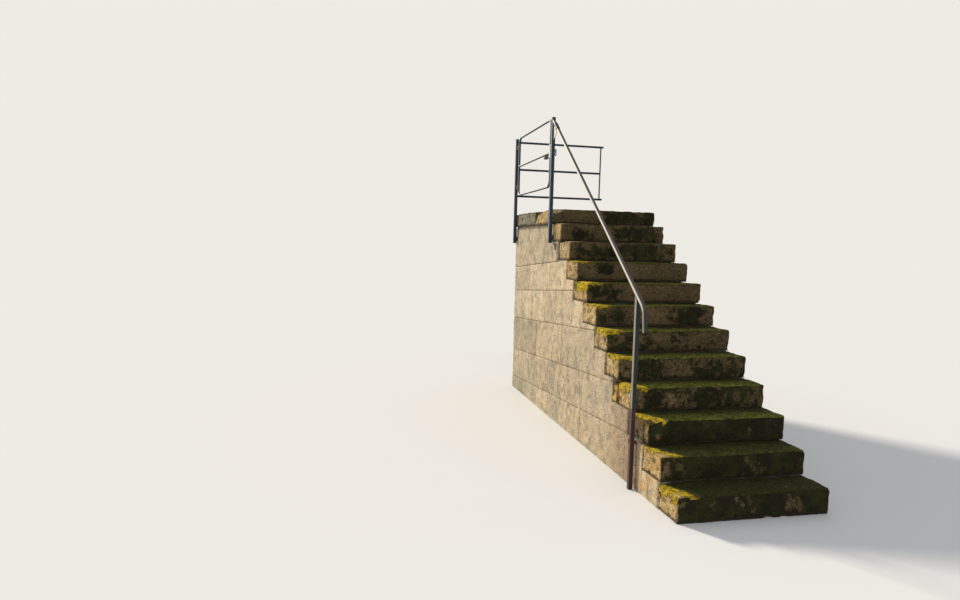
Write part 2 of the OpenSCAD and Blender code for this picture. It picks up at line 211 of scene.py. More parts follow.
def useGroup(tree, group, **values):
    node = tree.nodes.new("ShaderNodeGroup")
    node.node_tree = group
    for key, value in values.items():
        plug(tree, value, node.inputs[key])
    return node.outputs


def newMaterial(name, roughness, metallic=0.0, specular=0.5):
    material = bpy.data.materials.new(name)
    material.use_nodes = True
    tree = material.node_tree
    tree.nodes.clear()
    surface = tree.nodes.new("ShaderNodeBsdfPrincipled")
    surface.inputs["Roughness"].default_value = roughness
    surface.inputs["Metallic"].default_value = metallic
    surface.inputs["Specular IOR Level"].default_value = specular
    tree.links.new(surface.outputs[0], tree.nodes.new("ShaderNodeOutputMaterial").inputs[0])
    place = tree.nodes.new("ShaderNodeTexCoord").outputs["Object"]
    return material, tree, surface.inputs, place


def addBump(tree, surface, height, strength, distance):
    node = tree.nodes.new("ShaderNodeBump")
    node.inputs["Strength"].default_value = strength
    node.inputs["Distance"].default_value = distance
    plug(tree, height, node.inputs["Height"])
    plug(tree, node.outputs["Normal"], surface["Normal"])


numberKind, vectorKind = "NodeSocketFloat", "NodeSocketVector"

# ragged patch: an amount from 0 to 1 is broken up by noise into a cover with an uneven edge
coverInputs = [("Place", vectorKind)]
coverInputs += [(key, numberKind) for key in ("Amount", "Scale", "Raggedness", "Softness")]
coverGroup, into, out = newGroup("raggedCover", coverInputs, [("Cover", numberKind)])
broad = cloud(coverGroup, into["Place"], into["Scale"], 5.0, 0.65)
crumb = cloud(coverGroup, into["Place"], times(coverGroup, into["Scale"], 6.0), 3.0, 0.7)
both = plus(coverGroup, times(coverGroup, broad, 0.65), times(coverGroup, crumb, 0.35))
sway = times(coverGroup, minus(coverGroup, both, 0.5), into["Raggedness"])
level = plus(coverGroup, into["Amount"], sway)
upper = plus(coverGroup, into["Softness"], 0.5)
plug(coverGroup, ramp(coverGroup, level, 0.5, upper), out["Cover"])

# sandstone grain: sand specks, small pits, thin level beds and scattered weather holes
grainInputs = [("Place", vectorKind), ("Fineness", numberKind), ("Weathering", numberKind)]
grainOutputs = [(key, numberKind) for key in ("Specks", "Lumps", "Beds", "Pits", "Holes", "Height")]
grainGroup, into, out = newGroup("sandGrain", grainInputs, grainOutputs)
specks = cloud(grainGroup, into["Place"], times(grainGroup, into["Fineness"], 260.0), 2.0, 0.6)
lumps = cloud(grainGroup, into["Place"], times(grainGroup, into["Fineness"], 60.0), 4.0, 0.6)
beds = cloud(grainGroup, stretched(grainGroup, into["Place"], (1.0, 1.0, 9.0)), 6.0, 4.0, 0.6)
cells = grainGroup.nodes.new("ShaderNodeTexVoronoi")
plug(grainGroup, into["Place"], cells.inputs["Vector"])
plug(grainGroup, times(grainGroup, into["Fineness"], 85.0), cells.inputs["Scale"])
pits = ramp(grainGroup, cells.outputs["Distance"], 0.10, 0.32)
wobble = grainGroup.nodes.new("ShaderNodeTexNoise")
plug(grainGroup, into["Place"], wobble.inputs["Vector"])
plug(grainGroup, 38.0, wobble.inputs["Scale"])
bent = vectorCalc(grainGroup, "SCALE", wobble.outputs["Color"], 0.022)
bent = vectorCalc(grainGroup, "ADD", into["Place"], bent)
hollows = grainGroup.nodes.new("ShaderNodeTexVoronoi")
plug(grainGroup, bent, hollows.inputs["Vector"])
plug(grainGroup, times(grainGroup, into["Fineness"], 34.0), hollows.inputs["Scale"])
present = ramp(grainGroup, cloud(grainGroup, into["Place"], 9.0, 3.0, 0.6), 0.42, 0.58)
sunken = ramp(grainGroup, hollows.outputs["Distance"], 0.34, 0.14)
holes = times(grainGroup, times(grainGroup, sunken, present), into["Weathering"])
height = plus(grainGroup, times(grainGroup, specks, 0.35), times(grainGroup, lumps, 0.9))
height = plus(grainGroup, height, times(grainGroup, pits, 0.30))
height = minus(grainGroup, height, times(grainGroup, holes, 1.1))
found = {"Specks": specks, "Lumps": lumps, "Beds": beds, "Pits": pits, "Holes": holes, "Height": height}
for key, value in found.items():
    plug(grainGroup, value, out[key])

# how coarse, ragged and soft each growth's edge is, and how far it hides the stone
growthValues = {
    "algae": {"Scale": 14.0, "Raggedness": 1.7, "Softness": 0.5},
    "lichenAndShade": {"Scale": 17.0, "Raggedness": 2.5, "Softness": 0.09},
    "crust": {"Scale": 30.0, "Raggedness": 2.2, "Softness": 0.15},
    "ochre": {"Scale": 34.0, "Raggedness": 1.6, "Softness": 0.30},
    "moss": {"Scale": 20.0, "Raggedness": 1.7, "Softness": 0.30},
}
hiding = {"algae": 0.85, "lichenAndShade": 0.92, "crust": 0.55, "ochre": 0.85, "grimeAndShade": 0.92}


def growthCover(tree, place, key):
    return useGroup(tree, coverGroup, Place=place, Amount=mask(tree, key), **growthValues[key])["Cover"]


# stone: tones of sandstone, then stain, algae, dark and pale lichen, ochre and moss from the piece's masks;
# the stain, the dark lichen, the grime and the moss tones also carry painted shade and painted sunlight
def stoneMaterial(name, look):
    material, tree, surface, place = newMaterial(name, 0.95, 0.0, 0.12)
    grain = useGroup(tree, grainGroup, Place=place, Fineness=look["fineness"], Weathering=look["weathering"])
    drift = cloud(tree, place, 1.7, 3.0, 0.6)
    blotch = cloud(tree, place, 7.5, 4.0, 0.62)
    colour = blendColour(tree, ramp(tree, drift, 0.36, 0.64), look["warm"], look["cool"])
    colour = blendColour(tree, ramp(tree, blotch, 0.50, 0.72, 0.0, look["blotch"]), colour, look["pale"])
    rusting = plus(tree, mask(tree, "warmth"), ramp(tree, grain["Beds"], 0.50, 0.70, 0.0, 0.35))
    colour = blendColour(tree, rusting, colour, look["rusty"])
    mottle = ramp(tree, cloud(tree, place, 9.0, 5.0, 0.72), 0.46, 0.64, 0.0, look["mottle"])
    deepening = plus(tree, times(tree, mask(tree, "tone"), 0.8), mottle)
    colour = blendColour(tree, deepening, colour, look["deep"])
    colour = blendColour(tree, mask(tree, "stainAndShade"), colour, look["stainAndShadeTone"])
    coarse = look["coarseness"]
    speckle = ramp(tree, grain["Specks"], 0.35, 0.70, 1 - 0.28 * coarse, 1 + 0.28 * coarse)
    # pits and weather holes are darkened: painted shade in the hollows
    shade = times(tree, speckle, ramp(tree, grain["Pits"], 0.0, 1.0, 1 - 0.38 * coarse, 1.0))
    lumpShade = ramp(tree, grain["Lumps"], 0.34, 0.66, 1 - 0.30 * coarse, 1 + 0.26 * coarse)
    shade = times(tree, shade, lumpShade)
    shade = times(tree, shade, ramp(tree, grain["Holes"], 0.0, 1.0, 1.0, 0.36))
    runs = cloud(tree, stretched(tree, place, (7.0, 7.0, 1.3)), 1.0, 5.0, 0.66)
    shade = times(tree, shade, ramp(tree, runs, 0.42, 0.70, 1.0, 1 - look["streaks"]))
    colour = blendColour(tree, 1.0, colour, shade, "MULTIPLY")
    algae = growthCover(tree, place, "algae")
    colour = blendColour(tree, times(tree, algae, hiding["algae"]), colour, look["algae"])
    darkGrowthAndShade = growthCover(tree, place, "lichenAndShade")
    darkColour = blendColour(tree, ramp(tree, blotch, 0.42, 0.62), look["lichenAndShade"], look["lichenGreen"])
    colour = blendColour(tree, times(tree, darkGrowthAndShade, hiding["lichenAndShade"]), colour, darkColour)
    for key in ("crust", "ochre"):
        cover = growthCover(tree, place, key)
        colour = blendColour(tree, times(tree, cover, hiding[key]), colour, look[key])
    colour = blendColour(tree, mask(tree, "rust"), colour, look["rustRun"])
    # this darkening is dirt and painted shade alike
    colour = blendColour(tree, times(tree, mask(tree, "grimeAndShade"), hiding["grimeAndShade"]), colour, look["grimeAndShade"])
    moss = growthCover(tree, place, "moss")
    tuft = cloud(tree, place, 110.0, 4.0, 0.75)
    clump = cloud(tree, place, 30.0, 3.0, 0.6)
    # painted light on the moss: a sunlit patch painted bright, the rest painted as moss in shade
    sunlitMoss = times(tree, mask(tree, "sunlitMoss"), ramp(tree, clump, 0.34, 0.60, 0.50, 1.0))
    # painted light and shade: moss lighter towards the nosing, darker at the back of the tread
    nosingLightening = times(tree, mask(tree, "nosingLightening"), ramp(tree, clump, 0.32, 0.62, 0.35, 1.0))
    mossColour = blendColour(tree, nosingLightening, look["mossInShade"], look["mossHalfShade"])
    mossColour = blendColour(tree, sunlitMoss, mossColour, look["mossInSun"])
    mossShade = ramp(tree, tuft, 0.36, 0.64, 0.38, 1.42)
    mossShade = times(tree, mossShade, ramp(tree, clump, 0.3, 0.7, 0.68, 1.28))
    mossColour = blendColour(tree, 1.0, mossColour, mossShade, "MULTIPLY")
    colour = blendColour(tree, moss, colour, mossColour)
    plug(tree, colour, surface["Base Color"])
    mossHeight = times(tree, times(tree, moss, tuft), 2.6)
    height = plus(tree, grain["Height"], mossHeight)
    height = minus(tree, height, times(tree, darkGrowthAndShade, 0.12))
    addBump(tree, surface, height, look["bump"], 0.007)
    return material


blockLook = {
    "fineness": 1.0,
    "weathering": 1.0,
    "coarseness": 1.2,
    "mottle": 0.25,
    "streaks": 0.14,
    "blotch": 0.72,
    "bump": 1.1,
    "warm": (0.52, 0.345, 0.135),
    "cool": (0.45, 0.33, 0.165),
    "pale": (0.78, 0.615, 0.365),
    "rusty": (0.44, 0.25, 0.085),
    "deep": (0.27, 0.205, 0.11),
    # the dark brown of the front faces: stain, darkened further as painted shade
    "stainAndShadeTone": (0.094, 0.066, 0.030),
    "algae": (0.060, 0.058, 0.016),
    "lichenAndShade": (0.013, 0.012, 0.005),
    "lichenGreen": (0.024, 0.028, 0.007),
    "crust": (0.60, 0.57, 0.44),
    "ochre": (0.47, 0.265, 0.07),
    "rustRun": (0.17, 0.07, 0.03),
    "grimeAndShade": (0.028, 0.024, 0.015),
    "mossInShade": (0.046, 0.048, 0.011),
    "mossHalfShade": (0.215, 0.215, 0.028),
    "mossInSun": (0.62, 0.425, 0.020),
}
# the middle and far slabs: a greyer, darker copy of the block stone, painted shade
shadedSlabLook = dict(
    blockLook,
    warm=(0.285, 0.285, 0.215),
    cool=(0.20, 0.225, 0.175),
    pale=(0.36, 0.355, 0.275),
    rusty=(0.25, 0.22, 0.14),
)
wallLook = dict(
    blockLook,
    weathering=0.55,
    coarseness=0.62,
    mottle=0.75,
    streaks=0.16,
    blotch=0.45,
    bump=0.9,
    warm=(0.61, 0.48, 0.30),
    cool=(0.52, 0.44, 0.305),
    pale=(0.78, 0.65, 0.455),
    rusty=(0.40, 0.29, 0.17),
    deep=(0.30, 0.26, 0.185),
    stainAndShadeTone=(0.235, 0.160, 0.095),
    algae=(0.215, 0.220, 0.155),
)
mortarLook = dict(
    wallLook,
    bump=1.0,
    warm=(0.20, 0.165, 0.115),
    cool=(0.14, 0.12, 0.085),
    pale=(0.28, 0.24, 0.17),
)
blockStone = stoneMaterial("blockStone", blockLook)
shadedSlabStone = stoneMaterial("shadedSlabStone", shadedSlabLook)
wallStone = stoneMaterial("wallStone", wallLook)
mortar = stoneMaterial("mortar", mortarLook)


# steel: old paint with a chalky bloom, rubbed places and rust; the side facing the key light is painted
# paler, a painted highlight as well as chalked paint; below lowTop the paint is another one with less of that
# paleness;
# post is a square post's x, y and half width
def steelMaterial(name, look, post=None):
    material, tree, surface, place = newMaterial(name, 0.5, look["metallic"], look["specular"])
    bloom = cloud(tree, place, 9.0, 4.0, 0.6)
    fine = cloud(tree, place, 120.0, 3.0, 0.6)
    colour = blendColour(tree, ramp(tree, bloom, 0.35, 0.68), look["paint"], look["bloom"])
    # painted highlight: faces turned towards the key light's side are painted paler
    normal = tree.nodes.new("ShaderNodeTexCoord").outputs["Normal"]
    facing = vectorCalc(tree, "DOT_PRODUCT", normal, look["litSideDirection"])
    outward = ramp(tree, facing, look["litSideFrom"], look["litSideFull"], 0.0, look["litSidePaleness"])
    outward = times(tree, outward, ramp(tree, bloom, 0.25, 0.55, 0.75, 1.0))
    if "lowTop" in look:
        levels = tree.nodes.new("ShaderNodeSeparateXYZ")
        plug(tree, place, levels.inputs["Vector"])
        wavy = plus(tree, levels.outputs["Z"], times(tree, bloom, 0.12))
        lower = ramp(tree, wavy, look["lowTop"] + 0.02, look["lowTop"] - 0.05)
        colour = blendColour(tree, lower, colour, look["lowPaint"])
        outward = times(tree, outward, ramp(tree, lower, 0.0, 1.0, 1.0, look["lowLitSidePaleness"]))
    colour = blendColour(tree, outward, colour, look["litSidePaleColour"])
    rubbedAmount = times(tree, ramp(tree, bloom, 0.40, 0.72), look["rub"])
    if post is not None:
        # the paint is rubbed off near the four upright edges
        shift = tree.nodes.new("ShaderNodeMapping")
        shift.inputs["Location"].default_value = (-post[0], -post[1], 0.0)
        plug(tree, place, shift.inputs["Vector"])
        split = tree.nodes.new("ShaderNodeSeparateXYZ")
        plug(tree, shift.outputs["Vector"], split.inputs["Vector"])
        across = calc(tree, "ABSOLUTE", split.outputs["X"])
        along = calc(tree, "ABSOLUTE", split.outputs["Y"])
        corner = calc(tree, "MINIMUM", across, along)
        nearEdge = ramp(tree, corner, post[2] - 0.006, post[2] - 0.0005)
        rubbedAmount = plus(tree, rubbedAmount, times(tree, nearEdge, 0.30))
    rubbed = useGroup(
        tree, coverGroup, Place=place, Amount=rubbedAmount, Scale=40.0, Raggedness=0.9, Softness=0.3
    )
    colour = blendColour(tree, times(tree, rubbed["Cover"], 0.8), colour, look["bare"])
    rusting = ramp(tree, cloud(tree, place, 4.5, 4.0, 0.6), 0.45, 0.75, 0.0, 0.35)
    rusting = plus(tree, rusting, look["rust"])
    rust = useGroup(tree, coverGroup, Place=place, Amount=rusting, Scale=55.0, Raggedness=1.2, Softness=0.18)
    rustColour = blendColour(tree, ramp(tree, fine, 0.4, 0.62), look["rustDeep"], look["rustBright"])
    colour = blendColour(tree, rust["Cover"], colour, rustColour)
    plug(tree, colour, surface["Base Color"])
    gloss = ramp(tree, bloom, 0.3, 0.7, look["dull"], look["dull"] + 0.16)
    dull = plus(tree, times(tree, rust["Cover"], 0.38), gloss)
    plug(tree, dull, surface["Roughness"])
    height = plus(tree, times(tree, fine, 0.5), times(tree, rust["Cover"], 0.8))
    addBump(tree, surface, height, 0.30, 0.0012)
    return material


paintLook = {
    "metallic": 0.0,
    "specular": 0.26,
    "dull": 0.46,
    "paint": (0.010, 0.021, 0.036),
    "bloom": (0.020, 0.035, 0.053),
    # painted highlight: faces turned this way, towards the key light, are painted pale
    "litSideDirection": (-1.0, 0.0, 0.0),
    "litSideFrom": 0.50,
    "litSideFull": 0.95,
    "litSidePaleColour": (0.125, 0.155, 0.185),
    "litSidePaleness": 0.55,
    "bare": (0.10, 0.11, 0.13),
    "rub": 0.28,
    "rust": 0.08,
    "rustDeep": (0.060, 0.020, 0.010),
    "rustBright": (0.20, 0.075, 0.028),
}
railLook = dict(
    paintLook,
    specular=0.30,
    paint=(0.038, 0.034, 0.032),
    bloom=(0.058, 0.051, 0.045),
    litSidePaleColour=(0.52, 0.485, 0.415),
    litSidePaleness=0.85,
    bare=(0.14, 0.125, 0.105),
    rub=0.34,
    lowTop=1.50,
    lowPaint=(0.014, 0.018, 0.022),
    lowLitSidePaleness=0.55,
)
gateLook = dict(
    paintLook,
    paint=(0.014, 0.023, 0.035),
    bloom=(0.030, 0.038, 0.046),
    litSideDirection=(-0.82, 0.0, 0.57),
    litSideFrom=0.52,
    litSidePaleColour=(0.46, 0.44, 0.40),
    litSidePaleness=0.85,
    bare=(0.13, 0.125, 0.115),
    rub=0.30,
)
rustyLook = dict(
    paintLook,
    paint=(0.026, 0.024, 0.021),
    bloom=(0.048, 0.042, 0.034),
    litSidePaleColour=(0.19, 0.16, 0.125),
    rub=0.20,
    rust=0.30,
)
footLook = dict(
    rustyLook,
    paint=(0.012, 0.019, 0.019),
    bloom=(0.024, 0.029, 0.024),
    litSidePaleColour=(0.235, 0.22, 0.175),
    litSidePaleness=0.80,
    rust=0.14,
    lowTop=0.73,
    lowPaint=(0.045, 0.021, 0.023),
    lowLitSidePaleness=0.10,
)
darkLook = dict(
    paintLook,
    specular=0.06,
    dull=0.78,
    paint=(0.014, 0.015, 0.017),
    bloom=(0.030, 0.026, 0.022),
    litSidePaleness=0.04,
    rub=0.10,
)


def postMaterial(name, node, look):
    low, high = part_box(node)
    return steelMaterial(name, look, ((low.x + high.x) / 2, (low.y + high.y) / 2, (high.x - low.x) / 2))


slotSteel = {
    "painted_steel": steelMaterial("paintedSteel", paintLook),
    "worn_steel": steelMaterial("wornSteel", railLook),
    "rusty_steel": steelMaterial("rustySteel", rustyLook),
}
gateSteel = steelMaterial("gateSteel", gateLook)
darkSteel = steelMaterial("darkSteel", darkLook)
nodeSteel = {
    "head_post": postMaterial("headPostPaint", "head_post", paintLook),
    "far_post": postMaterial("farPostPaint", "far_post", paintLook),
    "foot_post": postMaterial("footPostPaint", "foot_post", footLook),
    "foot_post_strap": steelMaterial(
        "strapRust", dict(rustyLook, rust=0.55, litSidePaleness=0.2, rustBright=(0.115, 0.042, 0.026))
    ),
    "gate_frame": gateSteel,
    "gate_middle_bar": gateSteel,
    "latch_case": darkSteel,
    "latch_bolt": darkSteel,
    "latch_keeper": darkSteel,
    "chain_loops": darkSteel,
}
print("materials made")

# blocks and slabs: each keeps the outline of its node, worn inwards
# in order: dull moss on the tread; how far the moss is painted lighter towards the nosing, painted light;
# how bright its outer corner is painted, as if sunlit; the share of that corner trodden bare; moss on the end
# face;
# painted shade on the end face; green and dark growth on the front face, the dark partly painted shade
# a patch on the front face: metres from the outer end, level from 0 to 1, half width, half height, strength
# some wide dark patches at the right end of the front slab and top blocks are painted shadow as well as
# growth
blockValues = {
    "step_01": dict(
        film=0.9, nosingLightening=0.08, sunlitMoss=1.0, corner=0.58, ends=0.6, shade=0.0, algae=0.80, gloomAndShade=0.98,
        darkGrowthAndShade=[],
        bare=[(0.02, 0.5, 0.05, 0.6, 0.3)],
    ),
    "step_02": dict(
        film=1.0, nosingLightening=0.3, sunlitMoss=0.95, corner=0.66, ends=0.3, shade=0.0, algae=0.80, gloomAndShade=1.08,
        darkGrowthAndShade=[(0.55, 0.4, 0.35, 0.6, 1.0)],
        bare=[(0.04, 0.42, 0.04, 0.42, 0.55)],
    ),
    "step_03": dict(
        film=1.0, nosingLightening=0.95, sunlitMoss=1.0, corner=0.72, ends=0.2, shade=0.85, algae=0.80, gloomAndShade=1.05,
        darkGrowthAndShade=[(0.60, 0.4, 0.30, 0.6, 1.0)],
        bare=[(0.085, 0.40, 0.045, 0.30, 0.9)],
    ),
    "step_04": dict(
        film=1.0, nosingLightening=1.0, sunlitMoss=1.0, corner=0.0, ends=0.7, shade=0.0, algae=0.80, gloomAndShade=0.72,
        darkGrowthAndShade=[(0.21, 0.45, 0.07, 0.5, 0.9), (0.65, 0.5, 0.18, 0.6, 0.9)],
        bare=[(0.09, 0.50, 0.035, 0.45, 0.6), (0.37, 0.45, 0.09, 0.38, 0.75)],
    ),
    "step_05": dict(
        film=1.0, nosingLightening=1.0, sunlitMoss=1.0, corner=0.0, ends=0.55, shade=0.12, algae=0.80, gloomAndShade=0.74,
        darkGrowthAndShade=[(0.27, 0.5, 0.14, 0.6, 0.9)],
        bare=[(0.06, 0.42, 0.055, 0.45, 0.65), (0.53, 0.45, 0.13, 0.40, 0.4)],
    ),
    "step_06": dict(
        film=0.95, nosingLightening=1.0, sunlitMoss=1.0, corner=0.0, ends=0.68, shade=0.0, algae=0.75, gloomAndShade=0.58,
        darkGrowthAndShade=[(0.20, 0.5, 0.22, 0.6, 0.75)],
        bare=[(0.14, 0.65, 0.04, 0.16, 0.4), (0.30, 0.62, 0.05, 0.16, 0.4), (0.50, 0.7, 0.08, 0.25, 0.35)],
    ),
    "step_07": dict(
        film=0.92, nosingLightening=0.9, sunlitMoss=1.0, corner=0.0, ends=0.18, shade=0.0, algae=0.45, gloomAndShade=0.20,
        darkGrowthAndShade=[(0.08, 0.30, 0.06, 0.28, 0.85), (0.22, 0.45, 0.10, 0.42, 0.95), (0.92, 0.5, 0.22, 0.6, 0.9)],
        bare=[(0.60, 0.45, 0.16, 0.45, 0.55)],
    ),
    "step_08": dict(
        film=0.92, nosingLightening=0.8, sunlitMoss=1.0, corner=0.0, ends=1.12, shade=0.0, algae=0.45, gloomAndShade=0.20,
        darkGrowthAndShade=[(0.10, 0.58, 0.08, 0.38, 0.9), (0.26, 0.55, 0.12, 0.45, 1.05)],
        bare=[(0.56, 0.45, 0.18, 0.45, 0.40)],
    ),
    "step_09": dict(
        film=0.85, nosingLightening=0.7, sunlitMoss=0.7, corner=0.0, ends=0.12, shade=0.05, algae=0.40, gloomAndShade=0.12,
        darkGrowthAndShade=[(0.06, 0.24, 0.04, 0.20, 0.80), (0.16, 0.20, 0.04, 0.2, 0.7), (0.31, 0.62, 0.11, 0.36, 1.1)],
        bare=[(0.16, 0.5, 0.05, 0.4, 0.3), (0.62, 0.45, 0.18, 0.45, 0.30)],
    ),
    "step_10": dict(
        film=0.55, nosingLightening=0.4, sunlitMoss=0.15, corner=0.9, ends=0.1, shade=0.0, algae=0.45, gloomAndShade=0.42,
        darkGrowthAndShade=[(0.12, 0.5, 0.10, 0.5, 0.62), (0.36, 0.45, 0.22, 0.45, 0.78), (0.80, 0.6, 0.34, 0.6, 0.95)],
        bare=[],
    ),
    "step_11": dict(
        film=0.5, nosingLightening=0.4, sunlitMoss=0.1, corner=0.9, ends=0.05, shade=0.0, algae=0.40, gloomAndShade=0.20,
        darkGrowthAndShade=[(0.22, 0.42, 0.08, 0.4, 0.95), (0.34, 0.40, 0.07, 0.34, 0.85), (0.86, 0.5, 0.3, 0.6, 0.92)],
        bare=[(0.47, 0.45, 0.10, 0.45, 0.25)],
    ),
    "landing_slab_front": dict(
        film=0.5, nosingLightening=0.4, sunlitMoss=0.1, corner=0.9, ends=0.05, shade=0.0, algae=0.60, gloomAndShade=0.28,
        darkGrowthAndShade=[(0.90, 0.5, 0.38, 0.6, 0.98)],
        bare=[(0.40, 0.45, 0.12, 0.45, 0.15)],
    ),
    "landing_slab_middle": dict(
        film=0.45, nosingLightening=0.3, sunlitMoss=0.1, corner=0.3, ends=0.2, shade=0.25, algae=0.50, gloomAndShade=0.2,
        darkGrowthAndShade=[],
        bare=[],
    ),
    "landing_slab_far": dict(
        film=0.45, nosingLightening=0.3, sunlitMoss=0.1, corner=0.3, ends=0.2, shade=0.25, algae=0.50, gloomAndShade=0.2,
        darkGrowthAndShade=[],
        bare=[],
    ),
}
# how deep each kind of wear goes and how broad it is, in metres
wear = {
    "grain": 0.0086,
    "sunk": 0.0040,
    "wave": 0.0042,
    "waveSize": 0.34,
    "lump": 0.0032,
    "lumpSize": (0.10, 0.10, 0.06),
    "rough": 0.0020,
    "roughSize": 0.040,
    "scour": 0.0075,
    "scourSize": 0.13,
    "smallScourSize": 0.048,
    "pit": 0.0065,
    "pitSize": 0.042,
    "grit": 0.0022,
    "gritSize": 0.030,
    "arris": 0.0210,
    "raggedSize": 0.11,
    "corner": 0.012,
    "undercut": 0.007,
    "undercutTop": 0.024,
    "deepest": 0.03,
    "chips": 20,
    "smallChip": 0.018,
    "largeChip": 0.060,
    "mossRise": 0.0032,
    "sunlitMossRise": 0.0042,
}
# a tread's outer corner is painted bright as if sunlit, out to litReach along the nosing and one tread back
litReach = 0.165
treadDepth = 0.264
# where the broken tail of the fourth block begins
tailBreak = {"behind": 0.20, "along": 0.09}


def evenMesh(node, grain):
    # a copy of the node's own mesh, closed and cut into even faces
    sheet = bmesh.new()
    sheet.from_mesh(frame["nodes"][node].data)
    bmesh.ops.remove_doubles(sheet, verts=sheet.verts, dist=0.00001)
    mesh = bpy.data.meshes.new("copy_" + node)
    sheet.to_mesh(mesh)
    sheet.free()
    blank = bpy.data.objects.new("copy_" + node, mesh)
    bpy.context.scene.collection.objects.link(blank)
    voxels = blank.modifiers.new("voxels", "REMESH")
    voxels.mode = "VOXEL"
    voxels.voxel_size = grain
    shape = blank.evaluated_get(bpy.context.evaluated_depsgraph_get())
    even = bpy.data.meshes.new_from_object(shape)
    bpy.data.objects.remove(blank)
    bpy.data.meshes.remove(mesh)
    even.polygons.foreach_set("use_smooth", [True] * len(even.polygons))
    return even


def readPoints(mesh):
    points = np.zeros(len(mesh.vertices) * 3, np.float32)
    normals = np.zeros(len(mesh.vertices) * 3, np.float32)
    mesh.vertices.foreach_get("co", points)
    mesh.vertex_normals.foreach_get("vector", normals)
    return points.reshape(-1, 3).astype(float), normals.reshape(-1, 3).astype(float)


def ringAverage(values, edges, count):
    total = np.bincount(edges[:, 0], values[edges[:, 1]], len(values))
    total += np.bincount(edges[:, 1], values[edges[:, 0]], len(values))
    return total / count


def arrisOf(mesh, points, normals, grain, spread):
    # above 0 along outer edges, below 0 in inner corners
    edges = np.zeros(len(mesh.edges) * 2, np.int32)
    mesh.edges.foreach_get("vertices", edges)
    edges = edges.reshape(-1, 2)
    count = np.maximum(np.bincount(edges.ravel(), minlength=len(points)), 1)
    middle = np.stack([ringAverage(points[:, axis], edges, count) for axis in range(3)], axis=1)
    lean = -((middle - points) * normals).sum(axis=1) / grain
    for turn in range(spread):
        lean = 0.4 * lean + 0.6 * ringAverage(lean, edges, count)
    return lean


def patches(along, tall, listed):
    # strongest in the middle of each patch, half as strong at its rim
    total = np.zeros_like(along)
    for middle, level, halfWidth, halfHeight, strength in listed:
        away = ((along - middle) / halfWidth) ** 2 + ((tall - level) / halfHeight) ** 2
        total = np.maximum(total, strength * np.exp(-0.7 * away))
    return total


def wearDown(points, normals, top, front, outer, arris, low, seed):
    # a low swell, lumps, scoured hollows, pits in the end face, a broken arris and an undercut foot
    along, behind = points[:, 0] - low[0], points[:, 1] - low[1]
    depth = wear["sunk"] + wear["wave"] * softNoise(points, wear["waveSize"], seed, 2)
    depth = depth + wear["lump"] * softNoise(points, wear["lumpSize"], seed + 1)
    depth = depth + wear["rough"] * softNoise(points, wear["roughSize"], seed + 10, 2) * (1 - 0.5 * top)
    scoured = smoothStep(0.42, 1.0, softNoise(points, wear["scourSize"], seed + 2, 2))
    scoured = scoured + 0.7 * smoothStep(0.40, 0.9, softNoise(points, wear["smallScourSize"], seed + 9, 2))
    depth = depth + wear["scour"] * scoured * (1 - 0.6 * top)
    pitted = outer * smoothStep(0.15, 0.75, softNoise(points, wear["pitSize"], seed + 12, 2))
    gritty = wear["grit"] * outer * softNoise(points, wear["gritSize"], seed + 13, 2)
    depth = depth + wear["pit"] * pitted + gritty
    ragged = smoothStep(-0.1, 0.9, softNoise(points, wear["raggedSize"], seed + 3))
    broken = np.clip(arris, 0, 1)
    depth = depth + broken * (0.002 + wear["arris"] * ragged)
    depth = depth + broken * wear["corner"] * bell(along, 0.0, 0.05) * bell(behind, 0.0, 0.12)
    foot = smoothStep(wear["undercutTop"], 0.004, points[:, 2] - low[2]) * np.clip(front + outer, 0, 1)
    depth = depth + foot * (wear["undercut"] + 0.004 * softNoise(points, 0.06, seed + 7, 2))
    hidden = np.clip(-normals[:, 2], 0, 1) + np.clip(normals[:, 1], 0, 1)
    depth = np.clip(depth, 0.0003, wear["deepest"]) * (1 - 0.8 * np.clip(hidden, 0, 1))
    return points - normals * depth[:, None], pitted


def chipEdges(points, low, high, seed):
    # the arris is scooped away by small balls whose middles lie just off it
    dice = np.random.default_rng(seed)
    middle = (low + high) / 2
    for chip in range(wear["chips"]):
        radius = wear["smallChip"] + (wear["largeChip"] - wear["smallChip"]) * dice.uniform(0, 1) ** 2
        edge = dice.integers(0, 4)
        spot = np.array([dice.uniform(low[0], high[0]), low[1], high[2]])
        if edge == 1:
            spot = np.array([low[0], low[1], dice.uniform(low[2], high[2])])
        elif edge == 2:
            spot = np.array([low[0], dice.uniform(low[1], min(high[1], low[1] + 0.26)), high[2]])
        elif edge == 3:
            spot[2] = low[2]
        spot = spot + (spot - middle > 0).astype(float) * radius * 0.35
        spot = spot - (spot - middle < 0).astype(float) * radius * 0.35
        away = points - spot
        reach = np.linalg.norm(away, axis=1)
        inside = reach < radius
        points[inside] = spot + away[inside] / reach[inside, None] * radius


